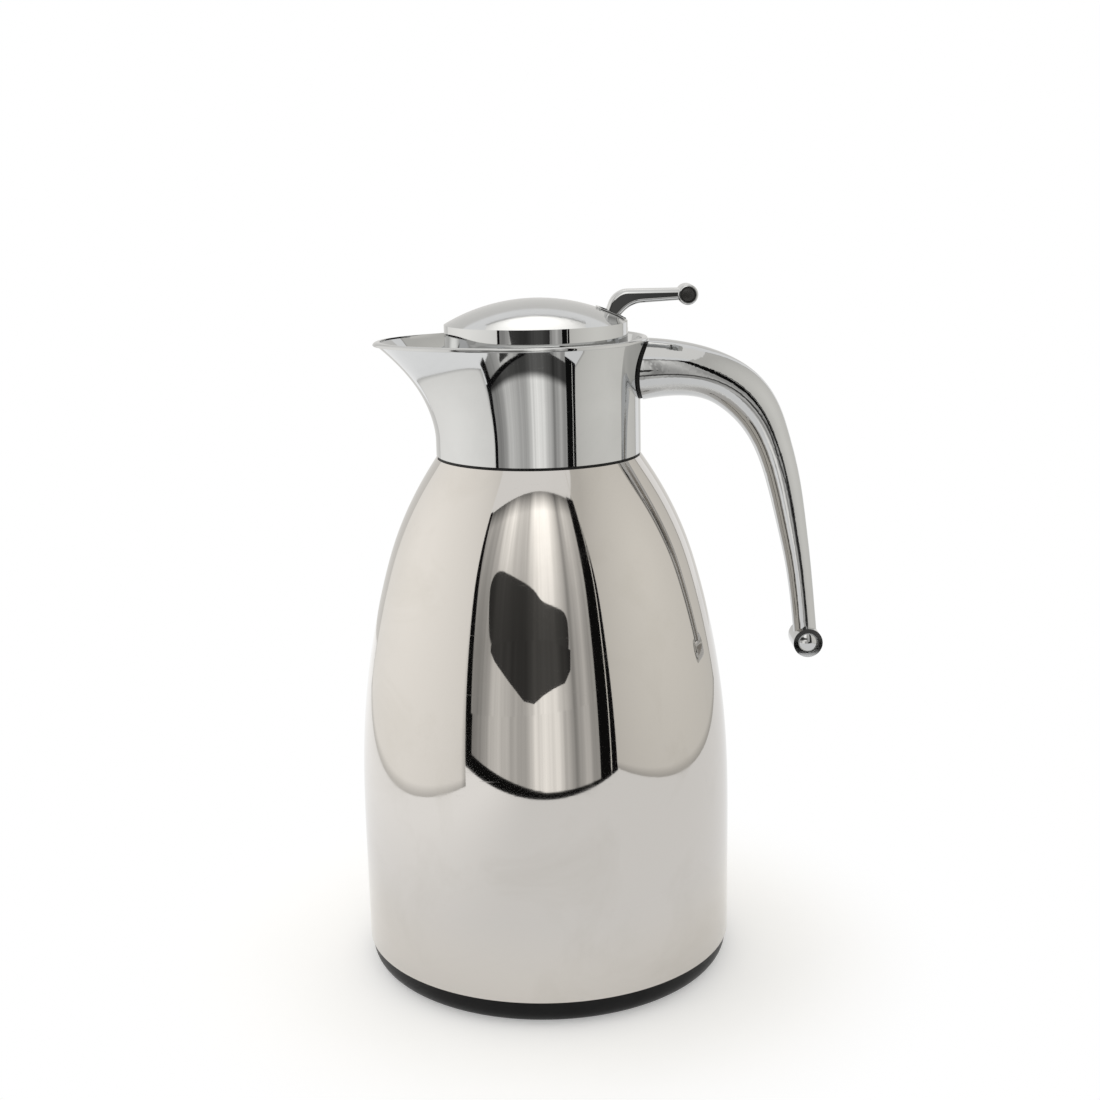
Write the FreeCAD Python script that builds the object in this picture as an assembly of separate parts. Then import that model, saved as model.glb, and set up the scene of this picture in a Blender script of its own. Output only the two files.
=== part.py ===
"""Insulated coffee pot: steel jacket, glass flask, chrome spout collar and handle, lever stopper.

Millimetres. +Z up, the foot stands on z = 0, the pot's axis is the Z axis.
The spout points to -X and the handle to +X.
"""
import FreeCAD, Part
import math
import os

from FreeCAD import Vector

# Body: jacket and foot
BODY_R = 69.0
BODY_STRAIGHT_TOP = 66.0
NECK_R = 37.2
NECK_Z = 191.6
SHOULDER_BEND = 16.4
NECK_BEND = 35.8
SHELL_WALL = 0.8
BASE_H = 9.0
BASE_INSET = 1.0
BASE_EDGE_R = 6.5
BASE_WALL = 2.5
BASE_RECESS = 4.0
FOOT_W = 5.0
GRIP_W = 14.0

# Screw joint of the foot
BASE_RING_W = 5.0
BASE_RING_H = 14.0
BASE_LEAD = 5.0
BASE_THREAD_DEPTH = 1.2
BASE_THREAD_TURNS = 1.6
BASE_CREST_GAP = 0.4
BASE_COLLAR_H = 12.0

# Glass flask and its cushion
FLASK_ROOM = 6.0
GLASS_WALL = 1.5
VACUUM_GAP = 5.0
NECK_VACUUM_GAP = 1.6
FLASK_NECK_INSET = 14.7
FLASK_STRAIGHT_TOP = 62.0
FLASK_NECK_H = 6.0
FLASK_SHOULDER_BEND = 22.0
FLASK_NECK_BEND = 52.0
FLASK_THROAT_R = 7.0
FLASK_HEEL_R = 34.0
CUSHION_T = 6.0
CUSHION_R = 26.0
CUSHION_BORE_R = 9.0

# Neck: gasket, collar foot, sleeve and ring nut
GASKET_T = 0.7
GASKET_INSET = 0.4
COLLAR_FOOT_T = 2.2
SLEEVE_SEAL_T = 1.0
SLEEVE_FLANGE_T = 2.2
SLEEVE_WALL = 2.4
SLEEVE_DROP = 12.0
SLEEVE_LEDGE_T = 2.5
SLEEVE_LEDGE_W = 6.0
LIP_SEAL_T = 1.5
LIP_SEAL_SKIRT = 3.0
LIP_SEAL_WALL = 1.4
NECK_NUT_H = 6.0
NECK_NUT_INSET = 2.8

# Collar, spout and rim
COLLAR_H = 42.2
RIM_FLARE = 2.8
FLARE_START_H = 21.0
RIM_BEAD_H = 2.4
RIM_BEAD_W = 0.2
RIM_ROUND = 0.5
COLLAR_WALL = 1.8
SPOUT_START_H = 6.4
SPOUT_REACH = 19.2
SPOUT_SWEEP = 1.8
SPOUT_BLUNTNESS = 8.0
LIP_REACH = 18.8
LIP_LEAN = 0.8

# Handle: distance out from the neck, drop below the rim, half height and half width at each station
HANDLE_STATIONS = (
    (-3.2, 12.0, 11.6, 13.2),
    (14.7, 12.1, 9.7, 12.0),
    (27.2, 15.2, 8.9, 10.6),
    (36.5, 21.0, 8.8, 9.4),
    (43.1, 29.0, 8.0, 8.4),
    (47.4, 38.0, 6.9, 7.5),
    (52.1, 53.4, 6.1, 6.7),
    (55.2, 68.8, 5.4, 5.9),
    (57.8, 83.8, 4.7, 5.2),
    (59.7, 98.8, 4.35, 4.7),
    (61.2, 114.3, 4.3, 4.5),
)
HANDLE_PAD_T = 1.0
HANDLE_PAD_INSET = 0.5
HANDLE_SCREW_GAP = 11.0
HANDLE_SCREW_LENGTH = 13.0
HANDLE_END_R = 5.4
HANDLE_END_W = 13.0
HANDLE_CAP_R = 3.7
HANDLE_CAP_T = 1.6
HANDLE_CAP_RECESS = 0.5

# Stopper
STOPPER_INSET = 13.7
STOPPER_WALL = 2.2
STOPPER_LEAD = 12.0
STOPPER_STARTS = 2
STOPPER_THREAD_DEPTH = 2.0
STOPPER_CREST_GAP = 0.7
STOPPER_SEAL_T = 2.0
STOPPER_SEAL_W = 3.8
STOPPER_SPIGOT_GAP = 0.5
STOPPER_FLOOR_T = 2.5
WINDOW_COUNT = 6
WINDOW_W = 14.0
WINDOW_H = 11.0
WINDOW_SILL = 3.0
WINDOW_HEAD = 2.0
WINDOW_CORNER_R = 2.3
STOPPER_FLANGE_T = 2.4
COVER_SEAL_T = 1.0
COVER_T = 2.4
COVER_SPIGOT_H = 3.0

# Lid
POUR_GAP = 2.4
LID_WALL = 1.2
LID_RISE = 5.5
LID_CROWN_R = 66.9
LID_BOSS_R = 2.8
LID_SCREW_COUNT = 3
LID_SCREW_LENGTH = 14.0

# Valve
VALVE_PORT_R = 9.0
VALVE_SPIGOT_GAP = 1.5
VALVE_SEAT_W = 2.5
VALVE_WASHER_T = 1.5
VALVE_PLUG_T = 2.9
VALVE_BOSS_R = 5.0
VALVE_BOSS_H = 3.0
STEM_R = 2.0
STEM_FOOT_R = 3.6
STEM_FOOT_T = 1.5
STEM_GUIDE_R = 5.4
STEM_GUIDE_H = 3.0
STEM_SEAL_T = 1.8
STEM_SEAL_W = 1.6
STEM_NUT_R = 5.5
STEM_NUT_T = 2.4
SPRING_R = 7.6
SPRING_WIRE_R = 0.6
SPRING_TURNS = 5
SPRING_END_PITCH = 2.0

# Lever
PIVOT_INSET = 6.0
PIVOT_DROP = 4.4
PIN_R = 1.5
PIN_HEAD_R = 2.3
PIN_HEAD_T = 0.8
HUB_R = 4.0
HUB_W = 8.6
LEVER_W = 8.0
LEVER_ARM_T = 3.0
LEVER_ARM_DROP = 2.0
LEVER_PAD_R = 1.8
FORK_DEPTH = 6.5
LEVER_REACH = 27.2
LEVER_TIP_RISE = 9.0
LEVER_TIP_R = 3.65
LEVER_TIP_W = 11.0
LEVER_TIP_EDGE_R = 0.7
LEVER_BLADE_T = 4.0
LEVER_BLADE_RISE = 2.2
LEVER_NECK_OUT = 0.8
LEVER_HEEL_OUT = 1.0
LEVER_BELLY_OUT = 7.2
LEVER_BELLY_DROP = 1.0
LEVER_HEEL_R = 7.4
LEVER_BELLY_R = 10.0
LEVER_EDGE_R = 1.4
LEVER_CAP_R = 2.6
LEVER_CAP_T = 1.2
LEVER_CAP_RECESS = 0.4
BRACKET_EAR_T = 2.0
BRACKET_EAR_R = 3.2
BRACKET_PLATE_T = 2.0
BRACKET_LENGTH = 16.0
BRACKET_SCREW_GAP = 7.4
BRACKET_SCREW_LENGTH = 6.5
SLOT_NOTCH = 2.4
SLOT_FRAME_W = 1.0
SLOT_FRAME_RISE = 0.5
SLOT_CORNER_R = 1.2

# Screws
SCREW_R = 1.5
SCREW_HEAD_R = 2.6
SCREW_HEAD_T = 1.7
SCREW_SLOT_W = 0.8
SCREW_SLOT_DEPTH = 0.7

# Clearances
FIT_GAP = 0.1
RUNNING_GAP = 0.05
MOVING_GAP = 0.3
LOOSE_GAP = 0.6
THREAD_GAP = 0.35
THREAD_FLANK = 0.6
SCREW_GAP = 0.2

ORIGIN = Vector(0, 0, 0)
UP = Vector(0, 0, 1)
ALONG_X = Vector(1, 0, 0)
ALONG_Y = Vector(0, 1, 0)

# Heights of the neck, from the joint line upwards and downwards
rim_z = NECK_Z + COLLAR_H
rim_r = NECK_R + RIM_FLARE
spout_start_z = NECK_Z + SPOUT_START_H
flare_start_z = NECK_Z + FLARE_START_H
shell_flange_z = NECK_Z - SHELL_WALL
collar_z = NECK_Z + GASKET_T
collar_floor_z = collar_z + COLLAR_FOOT_T
sleeve_flange_z = collar_floor_z + SLEEVE_SEAL_T
sleeve_top_z = sleeve_flange_z + SLEEVE_FLANGE_T
sleeve_bottom_z = NECK_Z - SLEEVE_DROP
ledge_z = sleeve_bottom_z + SLEEVE_LEDGE_T
flask_lip_z = sleeve_bottom_z - LIP_SEAL_T

# Radii of the neck, from the stopper outwards
stopper_r = NECK_R - STOPPER_INSET
sleeve_bore_r = stopper_r + STOPPER_THREAD_DEPTH + STOPPER_CREST_GAP
sleeve_r = sleeve_bore_r + SLEEVE_WALL
sleeve_flange_r = NECK_R - COLLAR_WALL - LOOSE_GAP
neck_bore_r = sleeve_r + FIT_GAP
ledge_bore_r = sleeve_bore_r - SLEEVE_LEDGE_W
flask_neck_bore_r = NECK_R - FLASK_NECK_INSET
flask_neck_r = flask_neck_bore_r + 2 * GLASS_WALL + NECK_VACUUM_GAP

# Heights of the foot and the flask
base_floor_z = BASE_RECESS + BASE_WALL
flask_bottom_z = base_floor_z + CUSHION_T

# Heights of the stopper, from its seal upwards
stopper_z = ledge_z + STOPPER_SEAL_T
seat_z = stopper_z + STOPPER_FLOOR_T
plug_z = seat_z + VALVE_WASHER_T
plug_top_z = plug_z + VALVE_PLUG_T
window_z = sleeve_top_z + WINDOW_SILL
stopper_flange_z = window_z + WINDOW_H + WINDOW_HEAD
stopper_top_z = stopper_flange_z + STOPPER_FLANGE_T
cover_z = stopper_top_z + COVER_SEAL_T
cover_top_z = cover_z + COVER_T
cover_bottom_z = stopper_top_z - COVER_SPIGOT_H

# The stopper's thread: the sleeve's ridges fill the bore, and the stopper's run half a pitch above them
thread_pitch = STOPPER_LEAD / STOPPER_STARTS
sleeve_thread_z = ledge_z + STOPPER_SEAL_T + thread_pitch / 2
sleeve_turns = (sleeve_top_z - thread_pitch / 2 - sleeve_thread_z) / STOPPER_LEAD
stopper_turns = (window_z - thread_pitch - sleeve_thread_z) / STOPPER_LEAD

# Radii of the stopper and its lid
stopper_bore_r = stopper_r - STOPPER_WALL
seal_r = stopper_r - FIT_GAP
seal_bore_r = seal_r - STOPPER_SEAL_W
valve_r = VALVE_PORT_R + VALVE_SEAT_W
lid_r = NECK_R - COLLAR_WALL - POUR_GAP
lid_bore_r = lid_r - LID_WALL
lid_ring_z = rim_z + LID_RISE
lid_centre_z = lid_ring_z - math.sqrt(LID_CROWN_R ** 2 - lid_r ** 2)
lid_top_z = lid_centre_z + LID_CROWN_R + SLOT_FRAME_RISE
lid_seat_r = lid_bore_r - FIT_GAP
lid_screw_circle_r = lid_bore_r - LID_BOSS_R - FIT_GAP

# Lever: pivot, lifting pads and the stem's crosshead
pivot = Vector(lid_r - PIVOT_INSET, 0, lid_ring_z - PIVOT_DROP)
pad_z = pivot.z - LEVER_ARM_DROP
stem_nut_z = pad_z + LEVER_PAD_R + MOVING_GAP
stem_top_z = stem_nut_z + STEM_NUT_T
stem_bottom_z = stopper_z + VALVE_SPIGOT_GAP / 2

# How far the lever's neck reaches from its pivot towards the spout
neck_in = HUB_R - LOOSE_GAP


def outline(points):
    """Closed wire in the XZ plane through (x, z) or (x, z, corner radius) points."""
    corners = [Vector(p[0], 0, p[1]) for p in points]
    radii = [p[2] if len(p) > 2 else 0.0 for p in points]
    edges = []
    arcs = []
    for i, corner in enumerate(corners):
        if radii[i] == 0.0:
            arcs.append((corner, None, corner))
            continue
        back = (corners[i - 1] - corner).normalize()
        ahead = (corners[(i + 1) % len(corners)] - corner).normalize()
        half = back.getAngle(ahead) / 2
        reach = radii[i] / math.tan(half)
        to_centre = (back + ahead).normalize()
        middle = corner + to_centre * (radii[i] / math.sin(half) - radii[i])
        arcs.append((corner + back * reach, middle, corner + ahead * reach))
    for i, (start, middle, end) in enumerate(arcs):
        if middle is not None:
            edges.append(Part.Arc(start, middle, end).toShape())
        edges.append(Part.makeLine(end, arcs[(i + 1) % len(arcs)][0]))
    return Part.Wire(edges)


def turned(points):
    """Solid of revolution about the pot's axis."""
    return Part.Face(outline(points)).revolve(ORIGIN, UP, 360)


def plate(points, y_low, y_high):
    """Side outline in the XZ plane, given its thickness along Y."""
    face = Part.Face(outline(points))
    face.translate(Vector(0, y_low, 0))
    return face.extrude(Vector(0, y_high - y_low, 0))


def block(x_low, x_high, half_y, z_low, z_high):
    """Box centred on the plane of symmetry."""
    return Part.makeBox(x_high - x_low, 2 * half_y, z_high - z_low, Vector(x_low, -half_y, z_low))


def edges_along(shape, direction):
    """The straight edges of a box that run in a direction."""
    return [edge for edge in shape.Edges if abs(edge.tangentAt(0).dot(direction)) > 0.9]


def rod(radius, start, end):
    """Cylinder from one point to another."""
    return Part.makeCylinder(radius, (end - start).Length, start, end - start)


def cross_rod(radius, centre, width):
    """Cylinder along Y, centred on a point of the plane of symmetry."""
    half = ALONG_Y * (width / 2)
    return rod(radius, centre - half, centre + half)


def screw(seat, direction, length):
    """Pan screw with a slotted head: its head sits on the seat and its shank follows the direction."""
    way = Vector(direction).normalize()
    head_top = seat - way * SCREW_HEAD_T
    solid = rod(SCREW_HEAD_R, head_top, seat).fuse(rod(SCREW_R, seat, seat + way * length))
    slot = Part.makeBox(4 * SCREW_HEAD_R, SCREW_SLOT_W, 2 * SCREW_SLOT_DEPTH)
    slot.translate(Vector(-2 * SCREW_HEAD_R, -SCREW_SLOT_W / 2, -SCREW_SLOT_DEPTH))
    slot.Placement = FreeCAD.Placement(head_top, FreeCAD.Rotation(UP, way)).multiply(slot.Placement)
    return solid.cut(slot).removeSplitter()


def screw_hole(seat, direction, length, gap):
    """Room for a screw's shank, wider than it by a gap and as much longer."""
    way = Vector(direction).normalize()
    return rod(SCREW_R + gap, seat - way * gap, seat + way * (length + gap))


def thread(radius, depth, lead, starts, turns, bottom_z, phase):
    """Helical ridges on a cylinder: outwards for a positive depth, inwards for a negative one.

    Ridges with the same lead, half a pitch apart in phase, run between each other with the thread gap.
    """
    width = lead / starts / 2 - THREAD_GAP
    crest = width - 2 * THREAD_FLANK
    root = radius - math.copysign(THREAD_GAP, depth)
    height = lead * turns
    ridges = []
    for start in range(starts):
        helix = Part.makeHelix(lead, height, radius)
        corners = [
            Vector(root, 0, -width / 2),
            Vector(radius + depth, 0, -crest / 2),
            Vector(radius + depth, 0, crest / 2),
            Vector(root, 0, width / 2),
        ]
        section = Part.makePolygon(corners + corners[:1])
        ridge = Part.Wire(helix).makePipeShell([section], True, True)
        ridge.rotate(ORIGIN, UP, 360.0 * start / starts)
        ridge.translate(Vector(0, 0, bottom_z + phase * lead / starts))
        ridges.append(ridge)
    return ridges


def stopper_thread(radius, depth, turns, phase):
    """One side of the thread between the neck sleeve and the stopper."""
    return thread(radius, depth, STOPPER_LEAD, STOPPER_STARTS, turns, sleeve_thread_z, phase)


class Shoulder:
    """Two tangent arcs that lead a bottle's upright side inwards, to a point with a given slope."""

    def __init__(self, low_r, low_z, high_r, high_z, bend_middle, bend_end):
        first, last = math.radians(bend_middle), math.radians(bend_end)
        narrowing, height = low_r - high_r, high_z - low_z
        cos_gap, sin_gap = math.cos(first) - math.cos(last), math.sin(last) - math.sin(first)
        scale = (1 - math.cos(first)) * sin_gap - cos_gap * math.sin(first)
        self.wide = (narrowing * sin_gap - cos_gap * height) / scale
        self.tight = ((1 - math.cos(first)) * height - math.sin(first) * narrowing) / scale
        self.wide_centre = Vector(low_r - self.wide, 0, low_z)
        step = self.wide - self.tight
        self.tight_centre = self.wide_centre + Vector(step * math.cos(first), 0, step * math.sin(first))
        self.bend_middle, self.bend_end = first, last

    def point(self, centre, radius, bend):
        return centre + Vector(radius * math.cos(bend), 0, radius * math.sin(bend))

    def arc(self, centre, radius, start, end):
        bends = (start, (start + end) / 2, end)
        return Part.Arc(*[self.point(centre, radius, bend) for bend in bends]).toShape()

    def edges(self, inset, end_bend=None):
        end = self.bend_end if end_bend is None else end_bend
        return [
            self.arc(self.wide_centre, self.wide - inset, 0.0, self.bend_middle),
            self.arc(self.tight_centre, self.tight - inset, self.bend_middle, end),
        ]

    def bend_at(self, z, inset):
        return math.asin((z - self.tight_centre.z) / (self.tight - inset))


def end_of(edges):
    return edges[-1].valueAt(edges[-1].LastParameter)


def chain(points):
    """Straight edges through a row of points."""
    return [Part.makeLine(a, b) for a, b in zip(points, points[1:])]


def revolved(edges):
    return Part.Face(Part.Wire(Part.__sortEdges__(edges))).revolve(ORIGIN, UP, 360)


def make_body_shell():
    """Spun steel jacket, with the neck turned in to a flange."""
    side = Shoulder(BODY_R, BODY_STRAIGHT_TOP, NECK_R, NECK_Z, SHOULDER_BEND, NECK_BEND)
    outer = side.edges(0.0)
    inner = side.edges(SHELL_WALL, side.bend_at(shell_flange_z, SHELL_WALL))
    flange = [
        end_of(outer),
        Vector(neck_bore_r, 0, NECK_Z),
        Vector(neck_bore_r, 0, shell_flange_z),
        end_of(inner),
    ]
    skirt = [
        Vector(BODY_R, 0, BODY_STRAIGHT_TOP),
        Vector(BODY_R, 0, BASE_H),
        Vector(BODY_R - SHELL_WALL, 0, BASE_H),
        Vector(BODY_R - SHELL_WALL, 0, BODY_STRAIGHT_TOP),
    ]
    return revolved(outer + inner + chain(flange) + chain(skirt))


def make_foot():
    """Black foot with a grip bar across its recess, and the threaded ring that it screws into."""
    foot_r = BODY_R - BASE_INSET
    ring_r = BODY_R - SHELL_WALL - FIT_GAP
    ring_bore_r = ring_r - BASE_RING_W
    collar_r = ring_bore_r - BASE_THREAD_DEPTH - BASE_CREST_GAP
    recess_r = foot_r - BASE_EDGE_R - FOOT_W
    cap = turned([
        (recess_r, 0),
        (foot_r, 0, BASE_EDGE_R),
        (foot_r, BASE_H),
        (collar_r, BASE_H),
        (collar_r, BASE_H + BASE_COLLAR_H),
        (collar_r - BASE_WALL, BASE_H + BASE_COLLAR_H),
        (collar_r - BASE_WALL, base_floor_z),
        (0, base_floor_z),
        (0, BASE_RECESS),
        (recess_r, BASE_RECESS),
    ])
    recess = rod(recess_r, ORIGIN, UP * BASE_RECESS)
    grip = recess.common(block(-foot_r, foot_r, GRIP_W / 2, 0, BASE_RECESS))
    ring = turned([
        (ring_bore_r, BASE_H),
        (ring_r, BASE_H),
        (ring_r, BASE_H + BASE_RING_H),
        (ring_bore_r, BASE_H + BASE_RING_H),
    ])
    thread_z = BASE_H + (BASE_COLLAR_H - BASE_LEAD * BASE_THREAD_TURNS) / 2
    male = thread(collar_r, BASE_THREAD_DEPTH, BASE_LEAD, 1, BASE_THREAD_TURNS, thread_z, 0.0)
    female = thread(ring_bore_r, -BASE_THREAD_DEPTH, BASE_LEAD, 1, BASE_THREAD_TURNS, thread_z, 0.5)
    return cap.fuse([grip] + male).removeSplitter(), ring.fuse(female)


def bottle_profile(radius, bottom_z, neck_r, neck_z, top_z, inset):
    """One face of a glass bottle, from its bottom to the top of its neck, pulled in by an inset."""
    bend = math.radians(FLASK_NECK_BEND)
    throat_end = Vector(neck_r + FLASK_THROAT_R, 0, neck_z)
    throat_r = neck_r + FLASK_THROAT_R * (1 - math.cos(bend))
    throat_z = neck_z - FLASK_THROAT_R * math.sin(bend)
    side = Shoulder(radius, FLASK_STRAIGHT_TOP, throat_r, throat_z, FLASK_SHOULDER_BEND, FLASK_NECK_BEND)
    heel = FLASK_HEEL_R - inset
    heel_centre = Vector(radius - FLASK_HEEL_R, 0, bottom_z + FLASK_HEEL_R)
    heel_arc = side.arc(heel_centre, heel, -math.pi / 2, 0.0)
    throat_arc = side.arc(throat_end, FLASK_THROAT_R + inset, math.pi + bend, math.pi)
    bottom = chain([Vector(0, 0, bottom_z + inset), Vector(heel_centre.x, 0, bottom_z + inset)])
    wall_r = radius - inset
    wall = chain([Vector(wall_r, 0, heel_centre.z), Vector(wall_r, 0, FLASK_STRAIGHT_TOP)])
    neck = chain([Vector(neck_r - inset, 0, neck_z), Vector(neck_r - inset, 0, top_z)])
    return bottom + [heel_arc] + wall + side.edges(inset) + [throat_arc] + neck


def bottle(radius, bottom_z, neck_r, neck_z, top_z):
    """Glass bottle with a steady wall."""
    outer = bottle_profile(radius, bottom_z, neck_r, neck_z, top_z, 0.0)
    inner = bottle_profile(radius, bottom_z, neck_r, neck_z, top_z, GLASS_WALL)
    rim = chain([Vector(neck_r, 0, top_z), Vector(neck_r - GLASS_WALL, 0, top_z)])
    axis = chain([Vector(0, 0, bottom_z), Vector(0, 0, bottom_z + GLASS_WALL)])
    room = inner + chain([end_of(inner), Vector(0, 0, top_z), Vector(0, 0, bottom_z + GLASS_WALL)])
    return revolved(outer + inner + rim + axis), revolved(room).Volume


def make_flask():
    """Double-walled flask: the outer bottle, and the inner one with the lip that joins them."""
    lip_bottom_z = flask_lip_z - GLASS_WALL
    neck_z = lip_bottom_z - FLASK_NECK_H
    radius = BODY_R - SHELL_WALL - FLASK_ROOM
    step = GLASS_WALL + VACUUM_GAP
    outer, _ = bottle(radius, flask_bottom_z, flask_neck_r, neck_z, lip_bottom_z)
    inner_neck_r = flask_neck_bore_r + GLASS_WALL
    inner, room = bottle(radius - step, flask_bottom_z + step, inner_neck_r, neck_z, flask_lip_z)
    lip = turned([
        (flask_neck_bore_r, lip_bottom_z),
        (flask_neck_r, lip_bottom_z),
        (flask_neck_r, flask_lip_z),
        (flask_neck_bore_r, flask_lip_z),
    ])
    print("flask room to the brim, litres:", round(room / 1e6, 3))
    return inner.fuse(lip).removeSplitter(), outer


def make_neck():
    """Sleeve with the stopper's thread and seat, its washer, the ring nut, and the flask's lip seal."""
    sleeve = turned([
        (ledge_bore_r, sleeve_bottom_z),
        (sleeve_r, sleeve_bottom_z),
        (sleeve_r, sleeve_flange_z),
        (sleeve_flange_r, sleeve_flange_z),
        (sleeve_flange_r, sleeve_top_z),
        (sleeve_bore_r, sleeve_top_z),
        (sleeve_bore_r, ledge_z),
        (ledge_bore_r, ledge_z),
    ])
    ridges = stopper_thread(sleeve_bore_r, -STOPPER_THREAD_DEPTH, sleeve_turns, 0.0)
    washer = turned([
        (neck_bore_r, collar_floor_z),
        (sleeve_flange_r, collar_floor_z),
        (sleeve_flange_r, sleeve_flange_z),
        (neck_bore_r, sleeve_flange_z),
    ])
    nut = turned([
        (neck_bore_r, shell_flange_z - NECK_NUT_H),
        (NECK_R - NECK_NUT_INSET, shell_flange_z - NECK_NUT_H),
        (NECK_R - NECK_NUT_INSET, shell_flange_z),
        (neck_bore_r, shell_flange_z),
    ])
    lip_seal = turned([
        (flask_neck_bore_r, flask_lip_z),
        (flask_neck_r + FIT_GAP, flask_lip_z),
        (flask_neck_r + FIT_GAP, flask_lip_z - LIP_SEAL_SKIRT),
        (flask_neck_r + FIT_GAP + LIP_SEAL_WALL, flask_lip_z - LIP_SEAL_SKIRT),
        (flask_neck_r + FIT_GAP + LIP_SEAL_WALL, sleeve_bottom_z),
        (flask_neck_bore_r, sleeve_bottom_z),
    ])
    return sleeve.fuse(ridges), washer, nut, lip_seal


def spread(angle):
    """Share of the spout's reach at an angle from the handle's side: all at the spout, none behind."""
    return ((1 - math.cos(angle)) / 2) ** SPOUT_BLUNTNESS


def pot_section(z, radius, reach):
    """Closed curve round the collar: a circle drawn out towards the spout."""
    count = 40
    points = []
    for i in range(count):
        angle = 2 * math.pi * i / count
        r = radius + reach * spread(angle)
        points.append(Vector(r * math.cos(angle), r * math.sin(angle), z))
    curve = Part.BSplineCurve()
    curve.interpolate(Points=points, PeriodicFlag=True)
    return Part.Wire(curve.toShape())


def rise(z, start_z):
    """How far a height lies up towards the rim: 0 at the start, 1 at the rim."""
    return max(0.0, (z - start_z) / (rim_z - start_z))


def collar_r(z):
    return NECK_R + (rim_r - RIM_BEAD_W - NECK_R) * rise(z, flare_start_z) ** 2


def collar_form(offset, bottom_z, top_z):
    """Outside of the collar and spout as a solid, moved outwards by an offset."""
    steps = 12
    heights = [bottom_z]
    heights += [spout_start_z + (top_z - spout_start_z) * i / steps for i in range(steps + 1)]
    wires = []
    for z in heights:
        reach = SPOUT_REACH * rise(z, spout_start_z) ** SPOUT_SWEEP
        wires.append(pot_section(z, collar_r(z) + offset, reach))
    return Part.makeLoft(wires, True)


def rim_bead():
    """Rim of the collar as a disc, drawn out into the drip lip."""
    return Part.makeLoft([
        pot_section(rim_z - RIM_BEAD_H, rim_r, LIP_REACH),
        pot_section(rim_z - RIM_ROUND, rim_r, LIP_REACH - LIP_LEAN),
        pot_section(rim_z, rim_r - RIM_ROUND, LIP_REACH - LIP_LEAN - RIM_ROUND),
    ], True, True)


def make_collar():
    """Chrome collar: clamping foot, spout and a rim bead that runs out into the drip lip."""
    skin = collar_form(0.0, collar_z, rim_z - RIM_ROUND)
    inside = collar_form(-COLLAR_WALL, collar_floor_z, rim_z + RIM_ROUND)
    bore = rod(neck_bore_r, UP * NECK_Z, UP * rim_z)
    return skin.fuse(rim_bead()).cut([inside, bore] + handle_screw_holes(SCREW_GAP))


# Centre line of the handle, from inside the collar to the bolster
handle_centres = [Vector(NECK_R + out, 0, rim_z - drop) for out, drop, _, _ in HANDLE_STATIONS]


def handle_screw_seats():
    """Where the handle's screw heads bear on the inside of the collar."""
    middle_z = handle_centres[0].z
    seats = []
    for side in (-1, 1):
        z = middle_z + side * HANDLE_SCREW_GAP / 2
        bore = collar_r(z) - COLLAR_WALL
        seats.append(Vector(math.sqrt(bore ** 2 - SCREW_HEAD_R ** 2) - 2 * FIT_GAP, 0, z))
    return seats


def handle_screw_holes(gap):
    return [screw_hole(seat, ALONG_X, HANDLE_SCREW_LENGTH, gap) for seat in handle_screw_seats()]


def oval(centre, along, half_height, half_width):
    """Oval section across the handle, square to the direction it runs in."""
    across = ALONG_Y.cross(along).normalize()
    count = 16
    points = []
    for i in range(count):
        angle = 2 * math.pi * i / count
        up, out = half_height * math.cos(angle), half_width * math.sin(angle)
        points.append(centre + across * up + ALONG_Y * out)
    curve = Part.BSplineCurve()
    curve.interpolate(Points=points, PeriodicFlag=True)
    return Part.Wire(curve.toShape())


def horn(inset):
    """The handle's horn, drawn in all round by an inset, from inside the collar to the bolster.

    Centre line and half sizes are smooth curves through the stations, over the length along the handle.
    """
    lengths = [0.0]
    for a, b in zip(handle_centres, handle_centres[1:]):
        lengths.append(lengths[-1] + (b - a).Length)
    halves = [Vector(height - inset, width - inset, 0) for _, _, height, width in HANDLE_STATIONS]
    centre_line, half_sizes = Part.BSplineCurve(), Part.BSplineCurve()
    centre_line.interpolate(Points=handle_centres, Parameters=lengths)
    half_sizes.interpolate(Points=halves, Parameters=lengths)
    steps = 30
    wires = []
    for i in range(steps + 1):
        s = lengths[-1] * i / steps
        half = half_sizes.value(s)
        wires.append(oval(centre_line.value(s), centre_line.tangent(s)[0], half.x, half.y))
    return Part.makeLoft(wires, True)


def end_pockets(centre, width, radius, depth):
    """Round pockets in both faces of a cross rod."""
    pockets = []
    for side in (-1, 1):
        face = centre + ALONG_Y * (side * width / 2)
        pockets.append(rod(radius, face - ALONG_Y * (side * depth), face + ALONG_Y * (side * depth)))
    return pockets


def end_caps(centre, width, radius, thickness, recess):
    """Pair of round caps, each at the bottom of its pocket."""
    caps = []
    for side in (-1, 1):
        face = centre + ALONG_Y * (side * (width / 2 - recess))
        caps.append(rod(radius, face - ALONG_Y * (side * thickness), face))
    return Part.makeCompound(caps)


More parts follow.
